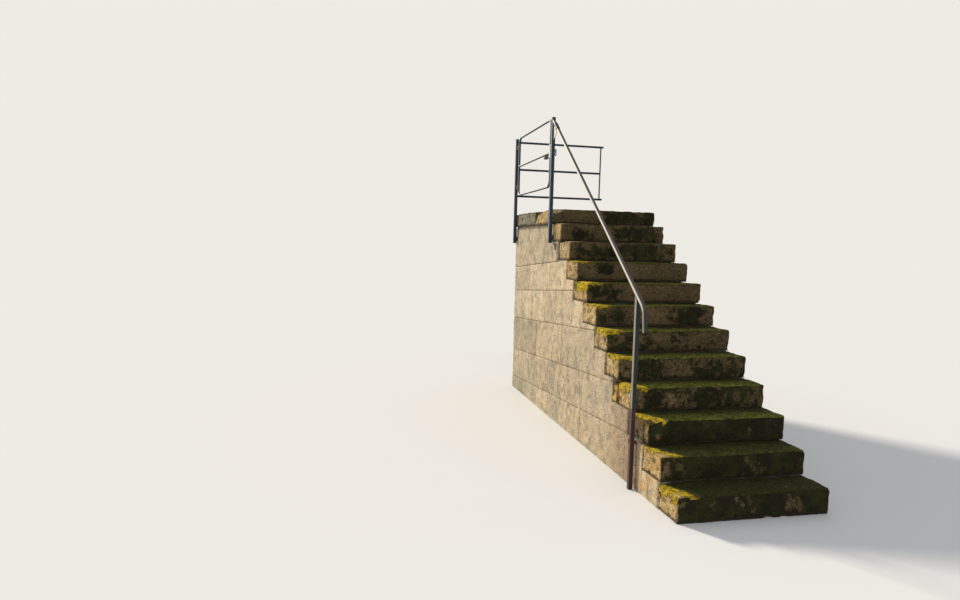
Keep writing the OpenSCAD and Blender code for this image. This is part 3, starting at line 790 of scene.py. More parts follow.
def wearBlock(node, seed):
    values = blockValues[node]
    isSlab = node in slabNodes
    low, high = (np.array(corner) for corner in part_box(node))
    mesh = evenMesh(node, wear["grain"])
    points, normals = readPoints(mesh)
    arris = np.clip(arrisOf(mesh, points, normals, wear["grain"], 4) * 5.0, -1, 1)
    along = points[:, 0] - low[0]
    behind = points[:, 1] - low[1]
    top, front = np.clip(normals[:, 2], 0, 1), np.clip(-normals[:, 1], 0, 1)
    outer = np.clip(-normals[:, 0], 0, 1)
    tread = 10.0 if isSlab else treadDepth
    points, pitted = wearDown(points, normals, top, front, outer, arris, low, seed)
    chipEdges(points, low, high, seed)

    # cover: what grows and settles on each face
    patch = softNoise(points, 0.20, seed + 4)
    speck = softNoise(points, 0.045, seed + 5, 2)
    tall = (points[:, 2] - low[2]) / (high[2] - low[2])
    # the painted sunlit patch: a triangle at each tread's outer corner
    ridge = along / litReach + np.clip(behind, 0, 1) / treadDepth
    edge = ridge + 0.10 * patch + 0.10 * speck
    sunlitStrip = smoothStep(1.16, 0.90, edge) * values["sunlitMoss"]
    rim = bell(along, 0.0, 0.05) * values["sunlitMoss"]
    trodden = top * smoothStep(values["corner"], values["corner"] - 0.22, edge)
    sunlitMoss = sunlitStrip + 0.35 * rim
    moss = top * values["film"] * (0.88 + 0.25 * patch + 0.25 * sunlitStrip) * (1 - 0.95 * trodden)
    ends = values["ends"]
    tongue = smoothStep(0.66 - 0.45 * ends, 1.0 - 0.2 * ends, tall + 0.26 * patch + 0.2 * speck)
    moss = moss + outer * tongue * (0.30 + 0.70 * ends)
    overhang = smoothStep(0.76, 0.98, tall + 0.15 * speck + 0.10 * patch)
    moss = moss + front * overhang * values["film"] * (0.45 + 0.55 * sunlitStrip) * (ridge > values["corner"])
    bare = patches(along, tall, values["bare"]) * front * (0.85 + 0.3 * speck)
    darkGrowthAndShade = patches(along, tall, values["darkGrowthAndShade"]) * front * (0.95 + 0.25 * patch)
    # dark growth on the front faces, with painted shade: darkest on the low blocks
    gloomAndShade = front * values["gloomAndShade"] * (0.85 + 0.35 * patch + 0.25 * speck)
    darkGrowthAndShade = np.maximum(darkGrowthAndShade, gloomAndShade) + 0.35 * top * (0.5 + patch) * isSlab
    algae = values["algae"] * (top + front * (0.75 + 0.5 * patch) + 0.12 * outer) * (1 - trodden)
    # the front faces are darkened by stain and by painted shade
    stainAndShade = front * (0.97 - 0.26 * bare) + (0.72 if isSlab else 0.85) * top * (1 - 0.8 * trodden)
    # painted shade on the end face behind its front corner and on the trodden corner of the tread
    shaded = values["shade"] * smoothStep(0.02, 0.07, behind + 0.02 * speck)
    # painted light: the tread's top is less stained near the outer end, where the low light reaches
    stainAndShade = stainAndShade * (1 - 0.55 * top * bell(along, 0.0, 0.12) * (1 - values["shade"]))
    stainAndShade = stainAndShade + (0.06 + shaded) * outer + 0.7 * trodden * values["shade"] + 0.55 * pitted
    # painted shade as well as dirt: darker at the back of each tread, at the foot of each face and in inner
    # corners
    treadBackDirtAndShade = smoothStep(tread - 0.06, tread - 0.005, behind) * top
    faceFootDirtAndShade = (1 - top) * smoothStep(0.030, 0.010, points[:, 2] - low[2])
    # painted light and shade: the moss is lighter towards the nosing and darker at the back of the tread
    nosingLightening = values["nosingLightening"] * smoothStep(0.95, 0.15, behind / tread + 0.12 * patch) * (0.25 + 0.75 * top)
    ochre = 0.34 * outer * (0.6 + 0.5 * speck) * (1 - tongue) * (1 - shaded)
    # painted highlight: a narrow golden strip at the front corner of the shaded end face, as if sunlit
    if values["shade"] > 0.5:
        litStrip = outer * (1 - smoothStep(0.02, 0.07, behind + 0.02 * speck))
        ochre = ochre + 0.45 * litStrip * (1 + speck)
        moss = moss + 0.50 * litStrip * (0.9 + speck)
        sunlitMoss = np.maximum(sunlitMoss, 0.6 * litStrip)
    ochre = ochre + 0.55 * bell(along, 0.0, 0.06) * bell(behind, 0.0, 0.05) * smoothStep(0.6, 0.9, tall)
    # painted light: the front slab's worn outer corner is painted golden, as if sunlit
    if node == "landing_slab_front":
        ochre = ochre + 0.6 * bell(along, 0.0, 0.12) * smoothStep(0.55, 0.9, tall)
    hollow = np.zeros(len(points))
    if node == "step_04":
        tail = smoothStep(tailBreak["behind"], tailBreak["behind"] + 0.04, behind)
        tail = tail * smoothStep(tailBreak["along"], 0.5 * tailBreak["along"], along)
        ochre = np.maximum(ochre, tail * (0.78 + 0.5 * speck + 0.2 * patch))
        moss = moss * (1 - 0.6 * tail) + 0.36 * tail * (0.8 + speck)
        sunlitMoss = sunlitMoss * (1 - 0.6 * tail)
        # the cleft in the fourth block's tail gets painted shade besides its rust-brown
        hollow = outer * bell(behind, tailBreak["behind"] + 0.016, 0.013) * smoothStep(0.12, 0.3, tall)
    tufts = 0.6 + 0.7 * softNoise(points, 0.024, seed + 6, 2)
    lift = wear["sunlitMossRise"] * smoothStep(0.35, 0.75, moss * sunlitMoss)
    lift = (lift + wear["mossRise"] * smoothStep(0.45, 0.85, moss)) * tufts
    points = points + normals * np.clip(lift, 0, 0.008)[:, None]
    points = np.clip(points, low, high)
    mesh.vertices.foreach_set("co", points.astype(np.float32).ravel())
    masks = {
        "moss": moss,
        "sunlitMoss": sunlitMoss,
        "nosingLightening": nosingLightening,
        "algae": algae * (1 - 0.8 * bare),
        "lichenAndShade": darkGrowthAndShade * (1 - 0.85 * bare),
        "stainAndShade": stainAndShade,
        "tone": 0.16 + 0.30 * softNoise(points, 0.5, seed + 8, 2),
        "warmth": np.full(len(points), 0.25 * (seed * 0.618 % 1)),
        "crust": outer * (0.22 + 0.3 * patch) * (1 - values["shade"]) + 0.06 * front,
        "ochre": ochre,
        "rust": 0.85 * hollow,
        "grimeAndShade": np.clip(-arris, 0, 1) * 0.7 + treadBackDirtAndShade * 0.6 + faceFootDirtAndShade * 0.85 + 0.35 * hollow,
    }
    stone = shadedSlabStone if node in slabNodes[1:] else blockStone
    piece = finishPiece("worn_" + node, mesh, masks, stone, "stair")
    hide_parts(node)
    return len(mesh.polygons)


blockFaces = sum(wearBlock(node, 100 + 31 * row) for row, node in enumerate(blockValues))
print("blocks and slabs worn:", blockFaces, "faces")

# walls: dressed stones in falling courses, each one closed, set in front of a mortar backing
# bed is a height above the ground at the reference line, joints are metres from the bottom nosing
sideCourses = {
    "reference": 2.2,
    "fall": 0.068,
    "beds": [0.0, 0.302, 0.673, 1.091, 1.456, 1.769, 2.60],
    "joints": [
        [0.44, 0.86, 1.90, 2.90, 3.80],
        [1.87, 2.85, 3.70],
        [2.50, 3.40],
        [2.21, 3.10, 3.95],
        [2.95, 3.75],
        [3.80],
    ],
    "slabGap": 0.013,
    "notch": {"along": 2.80, "level": 1.892, "halfLength": 0.047, "halfHeight": 0.038, "depth": 0.013},
}
# relief, joint, swell and the grain of the mesh are metres; a stepped wall follows the blocks' tails
wallValues = {
    "side": dict(seed=71, relief=0.0030, joint=0.0035, swell=0.0026, grain=0.0125, stepped=True),
    "end": dict(seed=131, relief=0.0045, joint=0.006, swell=0.0032, grain=0.0150, stepped=False),
    "back": dict(seed=191, relief=0.0055, joint=0.008, swell=0.0042, grain=0.0170, stepped=True),
}
# how thick the facing stones are, and how far the backing stays behind their faces and the blocks' tails
stoneDepth = 0.11
backingInset = 0.014
tailGap = 0.022

# tail of each block and bed of the next: the masonry's stepped outline
treadBreaks = []
for under, over in zip(stepNodes, stepNodes[1:] + slabNodes[:1]):
    treadBreaks.append((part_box(under)[1].y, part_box(over)[0].z))


def outlineTop(along):
    top = np.zeros_like(along)
    for start, bed in treadBreaks:
        top = np.where(along + footY > start, bed, top)
    return top


def sideTop(along):
    # the top stones stay a little below the slabs
    return outlineTop(along) - sideCourses["slabGap"] * (along + footY > treadBreaks[-1][0])


def notchIn(flat):
    # broken out beside the foot of the head post
    notch = sideCourses["notch"]
    away = abs((flat[:, 0] - notch["along"]) / notch["halfLength"]) ** 3
    away = away + abs((flat[:, 1] - notch["level"]) / notch["halfHeight"]) ** 3
    return smoothStep(1.3, 0.5, away)


def plainCourses(length, height, seed, rows, shortest, longest):
    dice = np.random.default_rng(seed)
    heights = dice.uniform(0.8, 1.2, rows)
    beds = np.concatenate([[0.0], np.cumsum(heights / heights.sum()) * height])
    beds[-1] = height + 0.2
    joints = []
    for row in range(rows):
        places = [dice.uniform(0.2, longest)]
        while places[-1] < length - shortest:
            places.append(places[-1] + dice.uniform(shortest, longest))
        joints.append([place for place in places if place < length - 0.12])
    return {"reference": 0.0, "fall": 0.0, "beds": list(beds), "joints": joints}


def dressStone(left, right, lower, upper, top, values, dice):
    # one stone: columns of points from bed to bed, pillowed at its edges
    count = max(4, int((right - left) / values["grain"]))
    rim, inner = 0.0035, 0.011
    along = np.concatenate(
        [[left, left + rim], np.linspace(left + inner, right - inner, count), [right - rim, right]]
    )
    breaks = [start - footY for start, bed in treadBreaks if left + 0.02 < start - footY < right - 0.02]
    for place in breaks if values["stepped"] else []:
        nearest = np.argmin(abs(along - place))
        along[nearest] = place - 0.0006
        along = np.insert(along, nearest + 1, place + 0.0006)
    low = np.maximum(lower(along), 0.0)
    high = np.minimum(upper(along), top(along) - 0.002)
    tall = high - low > 0.018
    if tall.sum() < 3:
        return None
    first = np.argmax(tall)
    run = tall[first:]
    last = first + (len(run) if run.all() else np.argmin(run))
    if last - first < 3:
        first = last + np.argmax(tall[last:])
        last = len(tall)
    if last - first < 3 or not tall[first:last].all():
        return None
    along, low, high = along[first:last], low[first:last], high[first:last]
    rows = max(4, int((high - low).max() / values["grain"])) + 4
    share = np.linspace(0, 1, rows - 4)
    tallness = (high - low)[:, None]
    rimRow, innerRow = np.minimum(rim, tallness * 0.15), np.minimum(inner, tallness * 0.3)
    middleRows = innerRow + (tallness - 2 * innerRow) * share
    offsets = [0 * tallness, rimRow, middleRows, tallness - rimRow, tallness]
    upPlace = low[:, None] + np.concatenate(offsets, axis=1)
    acrossPlace = np.repeat(along[:, None], rows, axis=1)
    # upright joints are finer than the beds
    edge = 2.2 * np.minimum(acrossPlace - along[0], along[-1] - acrossPlace)
    edge = np.minimum(edge, np.minimum(upPlace - low[:, None], high[:, None] - upPlace))
    flat = np.stack([acrossPlace.ravel(), upPlace.ravel(), np.full(edge.size, values["seed"] * 0.37)], axis=1)
    lean = dice.uniform(-0.5, 0.5, 3) * values["relief"]
    depth = values["relief"] + lean[0] + lean[1] * (acrossPlace - along.mean()) / (np.ptp(along) + 0.1)
    depth = depth + lean[2] * (upPlace - upPlace.mean()) / 0.4
    rounding = 1 - smoothStep(0.0, 0.011, edge.ravel() + 0.003 * softNoise(flat, 0.05, 5, 2))
    depth = depth.ravel() + 0.007 * rounding**2
    depth = depth + values["swell"] * softNoise(flat, 0.20, values["seed"])
    depth = depth + 0.0024 * softNoise(flat, 0.04, values["seed"] + 1, 2)
    depth = depth + 0.006 * smoothStep(0.62, 1.05, softNoise(flat, 0.11, values["seed"] + 2, 2))
    if values is wallValues["side"]:
        depth = depth + sideCourses["notch"]["depth"] * notchIn(flat)
    depth = np.clip(depth, 0.0005, 0.03)
    face = np.stack([flat[:, 0], flat[:, 1], depth], axis=1)
    columns = len(along)
    ring = [column * rows for column in range(columns)]
    ring += [(columns - 1) * rows + row for row in range(1, rows)]
    ring += [column * rows + rows - 1 for column in range(columns - 2, -1, -1)]
    ring += list(range(rows - 2, 0, -1))
    back = face[ring]
    back[:, 2] = stoneDepth
    quads = [
        (c * rows + r, c * rows + r + 1, (c + 1) * rows + r + 1, (c + 1) * rows + r)
        for c in range(columns - 1)
        for r in range(rows - 1)
    ]
    start = len(face)
    size = len(ring)
    for spot in range(size):
        after = (spot + 1) % size
        quads.append((ring[spot], ring[after], start + after, start + spot))
    quads.append(tuple(range(start, start + size)))
    return np.concatenate([face, back]), quads, dice.uniform(0, 1)


def buildWall(name, courses, values, length, top, toFrame):
    isSide = values is wallValues["side"]
    dice = np.random.default_rng(values["seed"])
    allPoints, allFaces, tones = [], [], []
    start = 0
    half, upright = values["joint"] / 2, values["joint"] / 4

    def bedLine(height, gap):
        return lambda along: height - courses["fall"] * (along - courses["reference"]) * (height > 0) + gap

    for row, joints in enumerate(courses["joints"]):
        lower = bedLine(courses["beds"][row], half if row else 0.0)
        upper = bedLine(courses["beds"][row + 1], -half)
        ends = [-upright, *joints, length + upright]
        for left, right in zip(ends[:-1], ends[1:]):
            made = dressStone(left + upright, right - upright, lower, upper, top, values, dice)
            if made is None:
                continue
            points, faces, tone = made
            if values is wallValues["back"]:  # innerPlace mirrors, so the faces are turned round
                faces = [face[::-1] for face in faces]
            allPoints.append(points)
            allFaces += [tuple(start + corner for corner in face) for face in faces]
            tones.append(np.full(len(points), tone))
            start += len(points)
    flat = np.concatenate(allPoints)
    points = toFrame(flat)
    patch = softNoise(points, 0.45, values["seed"] + 3)
    fine = softNoise(points, 0.12, values["seed"] + 4)
    low = 1 - smoothStep(0.0, 0.7, flat[:, 1])
    # brown damp stone behind the foot post, golden stone below the first blocks
    nearFoot = smoothStep(1.4, 0.75, flat[:, 0]) * smoothStep(0.58, 0.68, flat[:, 0]) * isSide
    golden = smoothStep(0.66, 0.58, flat[:, 0]) * isSide
    inJoint = (flat[:, 0] > 0.004) * (flat[:, 0] < length - 0.004) * smoothStep(0.009, 0.016, flat[:, 2])
    high = smoothStep(bedTop - 0.35, bedTop, flat[:, 1])
    tone = np.concatenate(tones)
    # the stone keeps its warm tone near the blocks and greens over further down and towards the far end:
    # algae as well as painted shade away from the sunlit strip, and painted warm light in that strip
    line = np.minimum((flat[:, 0] + 0.1) * flightPitch, bedTop)
    greenedAndShaded = smoothStep(0.10, 0.95, (line - flat[:, 1]) * 0.8)
    dampAndShade = 0.12 * greenedAndShaded + 0.26 * smoothStep(0.2, 0.9, patch) + 0.12 * high
    masks = {
        "moss": 0.20 * low * (0.5 + patch),
        "algae": (0.52 * greenedAndShaded + 0.12 * low + 0.24 * patch + 0.04) * (1 - golden),
        "lichenAndShade": 0.10 + 0.20 * patch + 0.14 * fine,
        "stainAndShade": dampAndShade + 0.58 * nearFoot + 0.14 * golden,
        "tone": (0.50 * tone + 0.22 * fine) * (1 - 0.7 * golden),
        "warmth": 0.45 * (tone * 7.13 % 1) * (1 - golden) + 0.35 * nearFoot,
        "crust": (0.20 + 0.25 * fine) * (1 - golden),
        "ochre": 0.20 * (1 - greenedAndShaded) * (0.6 + fine) + golden * (0.43 + 0.10 * fine),
        # painted shade on the stones' rounded edges where they turn into the joints
        "grimeAndShade": 0.5 * inJoint,
        "rust": rustRuns(points),
    }
    if isSide:
        # painted shadow under the slabs' overhang and painted shade in the broken notch
        shadeUnderSlabs = smoothStep(bedTop - 0.055, bedTop - 0.020, flat[:, 1])
        shadeUnderSlabs = 0.85 * shadeUnderSlabs * (flat[:, 0] + footY > treadBreaks[-1][0])
        masks["grimeAndShade"] = np.maximum(masks["grimeAndShade"], np.maximum(notchIn(flat), shadeUnderSlabs))
    print(name, "laid:", len(allFaces), "faces")
    return makePiece(name, points, allFaces, masks, wallStone, "stair")


def rustRuns(points):
    # thin brown runs below the steel that touches the wall
    total = np.zeros(len(points))
    for node, strength in (("foot_post_strap", 0.75), ("head_post_packer", 0.45), ("far_post_packer", 0.45)):
        low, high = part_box(node)
        if node == "foot_post_strap":
            low, high = Vector((outerX, low.y, low.z)), Vector((outerX, high.y, high.z))
        middle = (low.y + high.y) / 2
        drop = low.z + 0.02 - points[:, 2]
        wander = middle + 0.012 * softNoise(points * np.array([0, 0, 1]), 0.15, 9, 2)
        run = bell(points[:, 1], wander, 0.016 + 0.02 * np.clip(drop, 0, 1))
        near = smoothStep(0.10, 0.0, np.abs(points[:, 0] - outerX))
        total += strength * run * near * smoothStep(-0.03, 0.02, drop) * np.exp(-np.clip(drop, 0, 9) / 0.28)
    return total


def outerPlace(flat):
    return np.stack([outerX + flat[:, 2], footY + flat[:, 0], flat[:, 1]], axis=1)


def farPlace(flat):
    return np.stack([outerX + stoneDepth + flat[:, 0], farY - flat[:, 2], flat[:, 1]], axis=1)


def innerPlace(flat):
    return np.stack([innerX - flat[:, 2], footY + flat[:, 0], flat[:, 1]], axis=1)


def levelTop(along):
    return np.full_like(along, bedTop)


flightLength = farY - footY
flightPitch = (treadBreaks[-1][1] - treadBreaks[0][1]) / (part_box("step_11")[0].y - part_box("step_01")[0].y)
endLength = innerX - outerX - 2 * stoneDepth
endCourses = plainCourses(endLength, bedTop, 23, 7, 0.28, 0.62)
backCourses = plainCourses(flightLength, bedTop, 29, 9, 0.30, 0.70)
sideWall = buildWall(
    "side_wall_stones", sideCourses, wallValues["side"], flightLength, sideTop, outerPlace
)
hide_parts("side_wall")
endWall = buildWall(
    "end_wall_stones", endCourses, wallValues["end"], endLength, levelTop, farPlace
)
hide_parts("end_wall")
buildWall(
    "back_wall_stones", backCourses, wallValues["back"], flightLength, outlineTop, innerPlace
)


def backing():
    # the stepped outline, a little behind the stones on every open face and behind the blocks' tails
    corners = [(farY - backingInset, 0.0), (farY - backingInset, bedTop)]
    for start, bed in treadBreaks[::-1]:
        corners.append((start + tailGap, bed))
        lower = [other for place, other in treadBreaks if place < start]
        corners.append((start + tailGap, lower[-1] if lower else 0.0))
    count = len(corners)
    points = [(outerX + backingInset, y, z) for y, z in corners]
    points += [(innerX - backingInset, y, z) for y, z in corners]
    faces = [tuple(range(count)), tuple(range(2 * count - 1, count - 1, -1))]
    for spot in range(count):
        after = (spot + 1) % count
        faces.append((spot, count + spot, count + after, after))
    piece = makePiece("mortar_and_hearting", points, faces, {}, mortar, "stair", smooth=False)
    sheet = bmesh.new()
    sheet.from_mesh(piece.data)
    bmesh.ops.recalc_face_normals(sheet, faces=sheet.faces)
    sheet.to_mesh(piece.data)
    sheet.free()
    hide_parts("wall_core")


backing()
print("backing made")

# weld beads and bolt heads: Geometry Nodes set a small ball on each point of a wire or of loose points
beadValues = {"Spacing": 0.0023, "Radius": 0.0023, "Shape": (1.0, 1.0, 1.0), "Unevenness": 0.22, "Seed": 4}
boltValues = {"Radius": 0.0095, "Shape": (0.29, 1.0, 1.0), "Unevenness": 0.0, "Seed": 1}
boltLevels = (1.989, 2.215)  # metres above the ground
railSlope = math.radians(38)


def ballTree(name, alongWire):
    tree = bpy.data.node_groups.new(name, "GeometryNodeTree")
    for key, kind in (("Wire", "Geometry"), ("Spacing", "Float"), ("Radius", "Float"), ("Shape", "Vector")):
        tree.interface.new_socket(key, in_out="INPUT", socket_type="NodeSocket" + kind)
    for key, kind in (("Unevenness", "Float"), ("Seed", "Int"), ("Finish", "Material")):
        tree.interface.new_socket(key, in_out="INPUT", socket_type="NodeSocket" + kind)
    tree.interface.new_socket("Balls", in_out="OUTPUT", socket_type="NodeSocketGeometry")
    given = tree.nodes.new("NodeGroupInput").outputs
    carrier = given["Wire"]
    if alongWire:
        curve = tree.nodes.new("GeometryNodeMeshToCurve")
        spaced = tree.nodes.new("GeometryNodeResampleCurve")
        spaced.mode = "LENGTH"
        plug(tree, carrier, curve.inputs["Mesh"])
        plug(tree, curve.outputs["Curve"], spaced.inputs["Curve"])
        plug(tree, given["Spacing"], spaced.inputs["Length"])
        carrier = spaced.outputs["Curve"]
    ball = tree.nodes.new("GeometryNodeMeshIcoSphere")
    ball.inputs["Subdivisions"].default_value = 1 if alongWire else 3
    plug(tree, given["Radius"], ball.inputs["Radius"])
    size = tree.nodes.new("FunctionNodeRandomValue")
    plug(tree, minus(tree, 1.0, given["Unevenness"]), socketOf(size.inputs, "Min", "VALUE"))
    plug(tree, plus(tree, 1.0, given["Unevenness"]), socketOf(size.inputs, "Max", "VALUE"))
    plug(tree, given["Seed"], size.inputs["Seed"])
    shaped = vectorCalc(tree, "SCALE", given["Shape"], socketOf(size.outputs, "Value", "VALUE"))
    placed = tree.nodes.new("GeometryNodeInstanceOnPoints")
    plug(tree, carrier, placed.inputs["Points"])
    plug(tree, ball.outputs["Mesh"], placed.inputs["Instance"])
    plug(tree, shaped, placed.inputs["Scale"])
    smooth = tree.nodes.new("GeometryNodeSetShadeSmooth")
    plug(tree, placed.outputs["Instances"], smooth.inputs["Geometry"])
    real = tree.nodes.new("GeometryNodeRealizeInstances")
    plug(tree, smooth.outputs["Geometry"], real.inputs["Geometry"])
    finish = tree.nodes.new("GeometryNodeSetMaterial")
    plug(tree, real.outputs["Geometry"], finish.inputs["Geometry"])
    plug(tree, given["Finish"], finish.inputs["Material"])
    plug(tree, finish.outputs["Geometry"], tree.nodes.new("NodeGroupOutput").inputs["Balls"])
    return tree


def addBalls(name, lines, tree, values, finish, body):
    # lines are (points, closed); a line of one point has no edge
    points, edges = [], []
    for line, closed in lines:
        start = len(points)
        points += [tuple(point) for point in line]
        edges += [(start + spot, start + spot + 1) for spot in range(len(line) - 1)]
        edges += [(start + len(line) - 1, start)] * closed
    wire = bpy.data.meshes.new(name + "_wire")
    wire.from_pydata(points, edges, [])
    carrier = bpy.data.objects.new(name + "_wire", wire)
    bpy.context.scene.collection.objects.link(carrier)
    modifier = carrier.modifiers.new("balls", "NODES")
    modifier.node_group = tree
    wanted = dict(values, Finish=finish)
    for item in tree.interface.items_tree:
        if item.in_out == "INPUT" and item.name in wanted:
            modifier[item.identifier] = wanted[item.name]
    shape = carrier.evaluated_get(bpy.context.evaluated_depsgraph_get())
    mesh = bpy.data.meshes.new_from_object(shape)
    bpy.data.objects.remove(carrier)
    finishPiece(name, mesh, {}, finish, body)
    return len(mesh.polygons)


def middleOf(node):
    low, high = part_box(node)
    return (low + high) / 2, (high - low) / 2


def ringOf(middle, radius, axes, rise):
    # a ring in the plane of two axes; rise gives the place along the third one
    ring = np.tile(np.array(middle, float), (len(ringTurn), 1))
    first, second = radius * np.cos(ringTurn), radius * np.sin(ringTurn)
    ring[:, axes[0]] += first
    ring[:, axes[1]] += second
    ring[:, 3 - axes[0] - axes[1]] = rise(first)
    return ring, True


def boxRing(halfWidth, halfHeight):
    # offsets around a rectangle
    side = np.linspace(-1, 1, 5)[:-1]
    across = np.concatenate([side, np.ones(4), -side, -np.ones(4)]) * halfWidth
    upward = np.concatenate([-np.ones(4), side, np.ones(4), -side]) * halfHeight
    return across, upward


def ringAt(x, y, z):
    return np.stack(np.broadcast_arrays(x, y, z), axis=1), True


def verticalLine(x, y, low, high):
    return [(x, y, low), (x, y, high)], False


def railPoint(y):
    # the handrail's own middle line
    return railHead.z - (railHead.y - y) * math.tan(railSlope)


def gateSeams():
    gateMiddle, gateHalf = middleOf("gate_frame")
    barMiddle, barHalf = middleOf("gate_middle_bar")
    tube = gateHalf.x
    latchStile = gateMiddle.y - gateHalf.y + tube
    hingeStile = gateMiddle.y + gateHalf.y - tube
    lines = []
    for stile, side in ((latchStile, 1), (hingeStile, -1)):
        lines.append(
            ringOf(barMiddle, barHalf.x, (0, 2), lambda away: stile + side * np.sqrt(tube**2 - away**2))
        )
    for node in ("gate_eye_upper", "gate_eye_lower"):
        middle, half = middleOf(node)
        across, upward = boxRing(0.005, half.z - 0.004)
        outward = hingeStile + np.sqrt(tube**2 - across**2)
        lines.append(ringAt(middle.x + across, outward, middle.z + upward))
    middle, half = middleOf("latch_plate")
    for shift in (-0.0066, 0.0066):
        lines.append(
            verticalLine(middle.x + half.x, latchStile + shift, middle.z - half.z, middle.z + half.z)
        )
    return lines


def stairSeams():
    lines = []
    for node in ("guard_top_rail", "guard_middle_rail", "guard_bottom_rail"):
        middle, half = middleOf(node)
        lines.append(ringOf(middle, half.z, (1, 2), lambda away: farMiddle.x + farHalf.x))
    endMiddle, endHalf = middleOf("guard_end_bar")
    across, along = boxRing(endHalf.x, endHalf.y)
    for node, side in (("guard_top_rail", -1), ("guard_bottom_rail", 1)):
        middle, half = middleOf(node)
        seam = middle.z + side * np.sqrt(half.z**2 - along**2)
        lines.append(ringAt(endMiddle.x + across, endMiddle.y + along, seam))
    for node in ("hinge_pin_upper", "hinge_pin_lower"):
        across, upward = boxRing(0.007, 0.0065)
        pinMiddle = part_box(node)[0].z + 0.0065
        lines.append(ringAt(farMiddle.x + across, farMiddle.y - farHalf.y, pinMiddle + upward))

    # the handrail: its head on the post, gusset, sleeve ends and the foot post under it
    sine, cosine = math.sin(railSlope), math.cos(railSlope)
    ellipse = np.stack([np.cos(ringTurn), 0 * ringTurn, np.sin(ringTurn) / cosine], axis=1)
    lines.append((np.array(railHead) + railRadius * ellipse, True))
    low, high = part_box("gusset_plate")
    lines += [verticalLine(x, railHead.y, low.z, high.z) for x in (low.x, high.x)]
    low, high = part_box("handrail_sleeve")
    lean = (high.x - low.x) / 2 * sine
    around = np.stack([np.cos(ringTurn), -np.sin(ringTurn) * sine, np.sin(ringTurn) * cosine], axis=1)
    for y in (low.y + lean, high.y - lean):
        lines.append((np.array((railHead.x, y, railPoint(y))) + (railRadius + 0.0012) * around, True))
    middle, half = middleOf("foot_post")
    across, along = boxRing(half.x, half.y)
    under = np.maximum(np.sqrt(np.maximum(railRadius**2 - across**2, 0)), 0.0105) / cosine
    lines.append(ringAt(middle.x + across, middle.y + along, railPoint(middle.y + along) - under))

    low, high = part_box("latch_keeper")
    lines += [verticalLine(x, low.y + 0.0008, low.z, high.z) for x in (low.x, high.x)]
    return lines


ringTurn = np.linspace(0, 2 * np.pi, 24, endpoint=False)
farMiddle, farHalf = middleOf("far_post")
headMiddle, headHalf = middleOf("head_post")
railMiddle, railHalf = middleOf("handrail")
railRadius = railHalf.x
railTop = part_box("handrail")[1].z - railRadius / math.cos(railSlope)
railHead = Vector((railMiddle.x, headMiddle.y - headHalf.y, railTop))
boltSpots = []
for middle, half in ((headMiddle, headHalf), (farMiddle, farHalf)):
    boltSpots += [([(middle.x - half.x, middle.y, level)], False) for level in boltLevels]
beadNodes = ballTree("weldBeads", True)
boltNodes = ballTree("boltHeads", False)
paintedSteel = slotSteel["painted_steel"]
count = addBalls("gate_welds", gateSeams(), beadNodes, beadValues, gateSteel, "gate")
count += addBalls("stair_welds", stairSeams(), beadNodes, beadValues, paintedSteel, "stair")
count += addBalls("post_bolt_heads", boltSpots, boltNodes, boltValues, paintedSteel, "stair")
print("welds and bolt heads:", count, "faces")

# steelwork keeps the frame's own shapes; a stone node gets the block stone, but is replaced anyway
slotOf = {row["node"]: row["material_slot"] for row in frame["record"]["subparts"]}
for node, obj in frame["nodes"].items():
    finish = nodeSteel.get(node) or slotSteel.get(slotOf[node]) or blockStone
    obj.data.materials.clear()
    obj.data.materials.append(finish)
print("steel painted")

# plain pale floor and soft studio light; seen is the backdrop itself, cast is the light it gives
studio = {
    "reach": 90.0,
    "floor": (0.74, 0.73, 0.71, 1.0),
    "seen": (0.856, 0.828, 0.776, 1.0),
    "cast": (0.90, 0.94, 1.0, 1.0),
    "fill": 0.55,
}
suns = {
    "lowKey": dict(heading=(0.53, -0.78, -0.40), strength=4.7, spread=8.0, colour=(1.0, 0.92, 0.80)),
    "softFront": dict(heading=(0.25, 0.80, -0.55), strength=0.45, spread=60.0, colour=(0.96, 0.98, 1.0)),
}


def addFloor():
    reach = studio["reach"]
    mesh = bpy.data.meshes.new("floor")
    corners = [(-reach, -reach, 0.0), (reach, -reach, 0.0), (reach, reach, 0.0), (-reach, reach, 0.0)]
    mesh.from_pydata(corners, [], [(0, 1, 2, 3)])
    material, tree, surface, place = newMaterial("paleFloor", 0.9, specular=0.0)
    surface["Base Color"].default_value = studio["floor"]
    mesh.materials.append(material)
    floor = bpy.data.objects.new("floor", mesh)
    bpy.context.scene.collection.objects.link(floor)


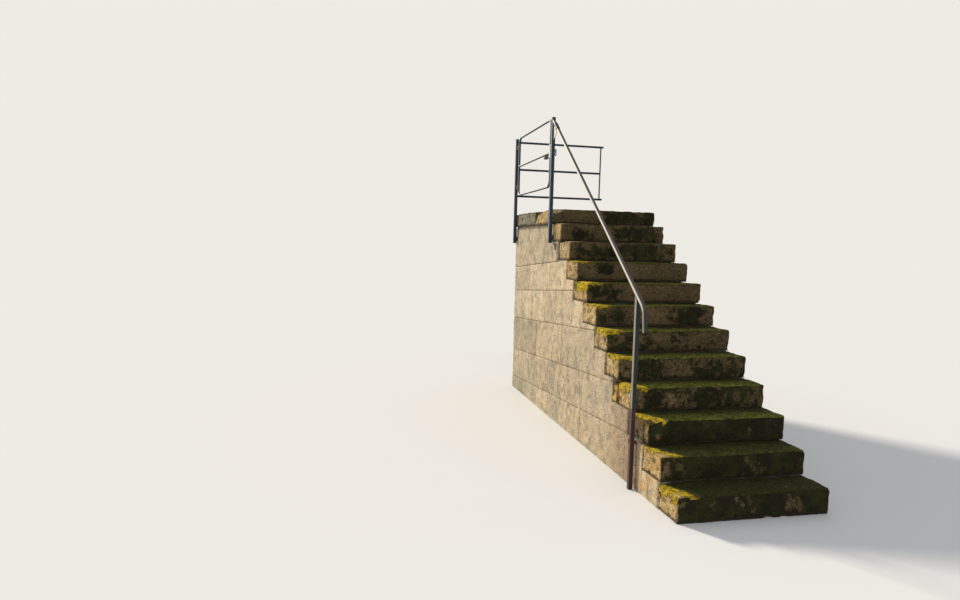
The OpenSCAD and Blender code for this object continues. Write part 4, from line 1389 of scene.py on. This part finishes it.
def addWorld():
    world = bpy.data.worlds.new("studio")
    world.use_nodes = True
    tree = world.node_tree
    tree.nodes.clear()
    fill, backdrop = tree.nodes.new("ShaderNodeBackground"), tree.nodes.new("ShaderNodeBackground")
    fill.inputs["Color"].default_value = studio["cast"]
    fill.inputs["Strength"].default_value = studio["fill"]
    backdrop.inputs["Color"].default_value = studio["seen"]
    rays = tree.nodes.new("ShaderNodeLightPath").outputs
    choose = tree.nodes.new("ShaderNodeMixShader")
    seenDirect = calc(tree, "MAXIMUM", rays["Is Camera Ray"], rays["Is Glossy Ray"])
    plug(tree, seenDirect, choose.inputs["Fac"])
    plug(tree, fill.outputs[0], choose.inputs[1])
    plug(tree, backdrop.outputs[0], choose.inputs[2])
    plug(tree, choose.outputs[0], tree.nodes.new("ShaderNodeOutputWorld").inputs["Surface"])
    bpy.context.scene.world = world


def addSun(name, heading, strength, spread, colour):
    lamp = bpy.data.lights.new(name, "SUN")
    lamp.energy = strength
    lamp.angle = math.radians(spread)
    lamp.color = colour
    sun = bpy.data.objects.new(name, lamp)
    sun.rotation_euler = Vector(heading).to_track_quat("-Z", "Y").to_euler()
    bpy.context.scene.collection.objects.link(sun)


addFloor()
addWorld()
for name, values in suns.items():
    addSun(name, **values)
print("stage set")

# camera from the photograph, measured from the outer end of the bottom nosing
view = {
    "place": (-2.2304, -3.8679, 1.8657),
    "right": (0.9784601, -0.20503813, 0.02398314),
    "up": (-0.00656516, 0.08521168, 0.99634124),
    "forward": (0.20633159, 0.97503761, -0.08203013),
    "focalShare": 640 / 960,
}
lens = bpy.data.cameras.new("photoView")
lens.sensor_fit = "HORIZONTAL"
lens.sensor_width = 36.0
lens.lens = lens.sensor_width * view["focalShare"]
camera = bpy.data.objects.new("photoView", lens)
bpy.context.scene.collection.objects.link(camera)
turn = Matrix((view["right"], view["up"], -Vector(view["forward"]))).transposed().to_4x4()
camera.matrix_world = Matrix.Translation(Vector((outerX, footY, 0.0)) + Vector(view["place"])) @ turn
bpy.context.scene.camera = camera
bpy.context.scene.view_settings.view_transform = "Standard"

print("scene ready")
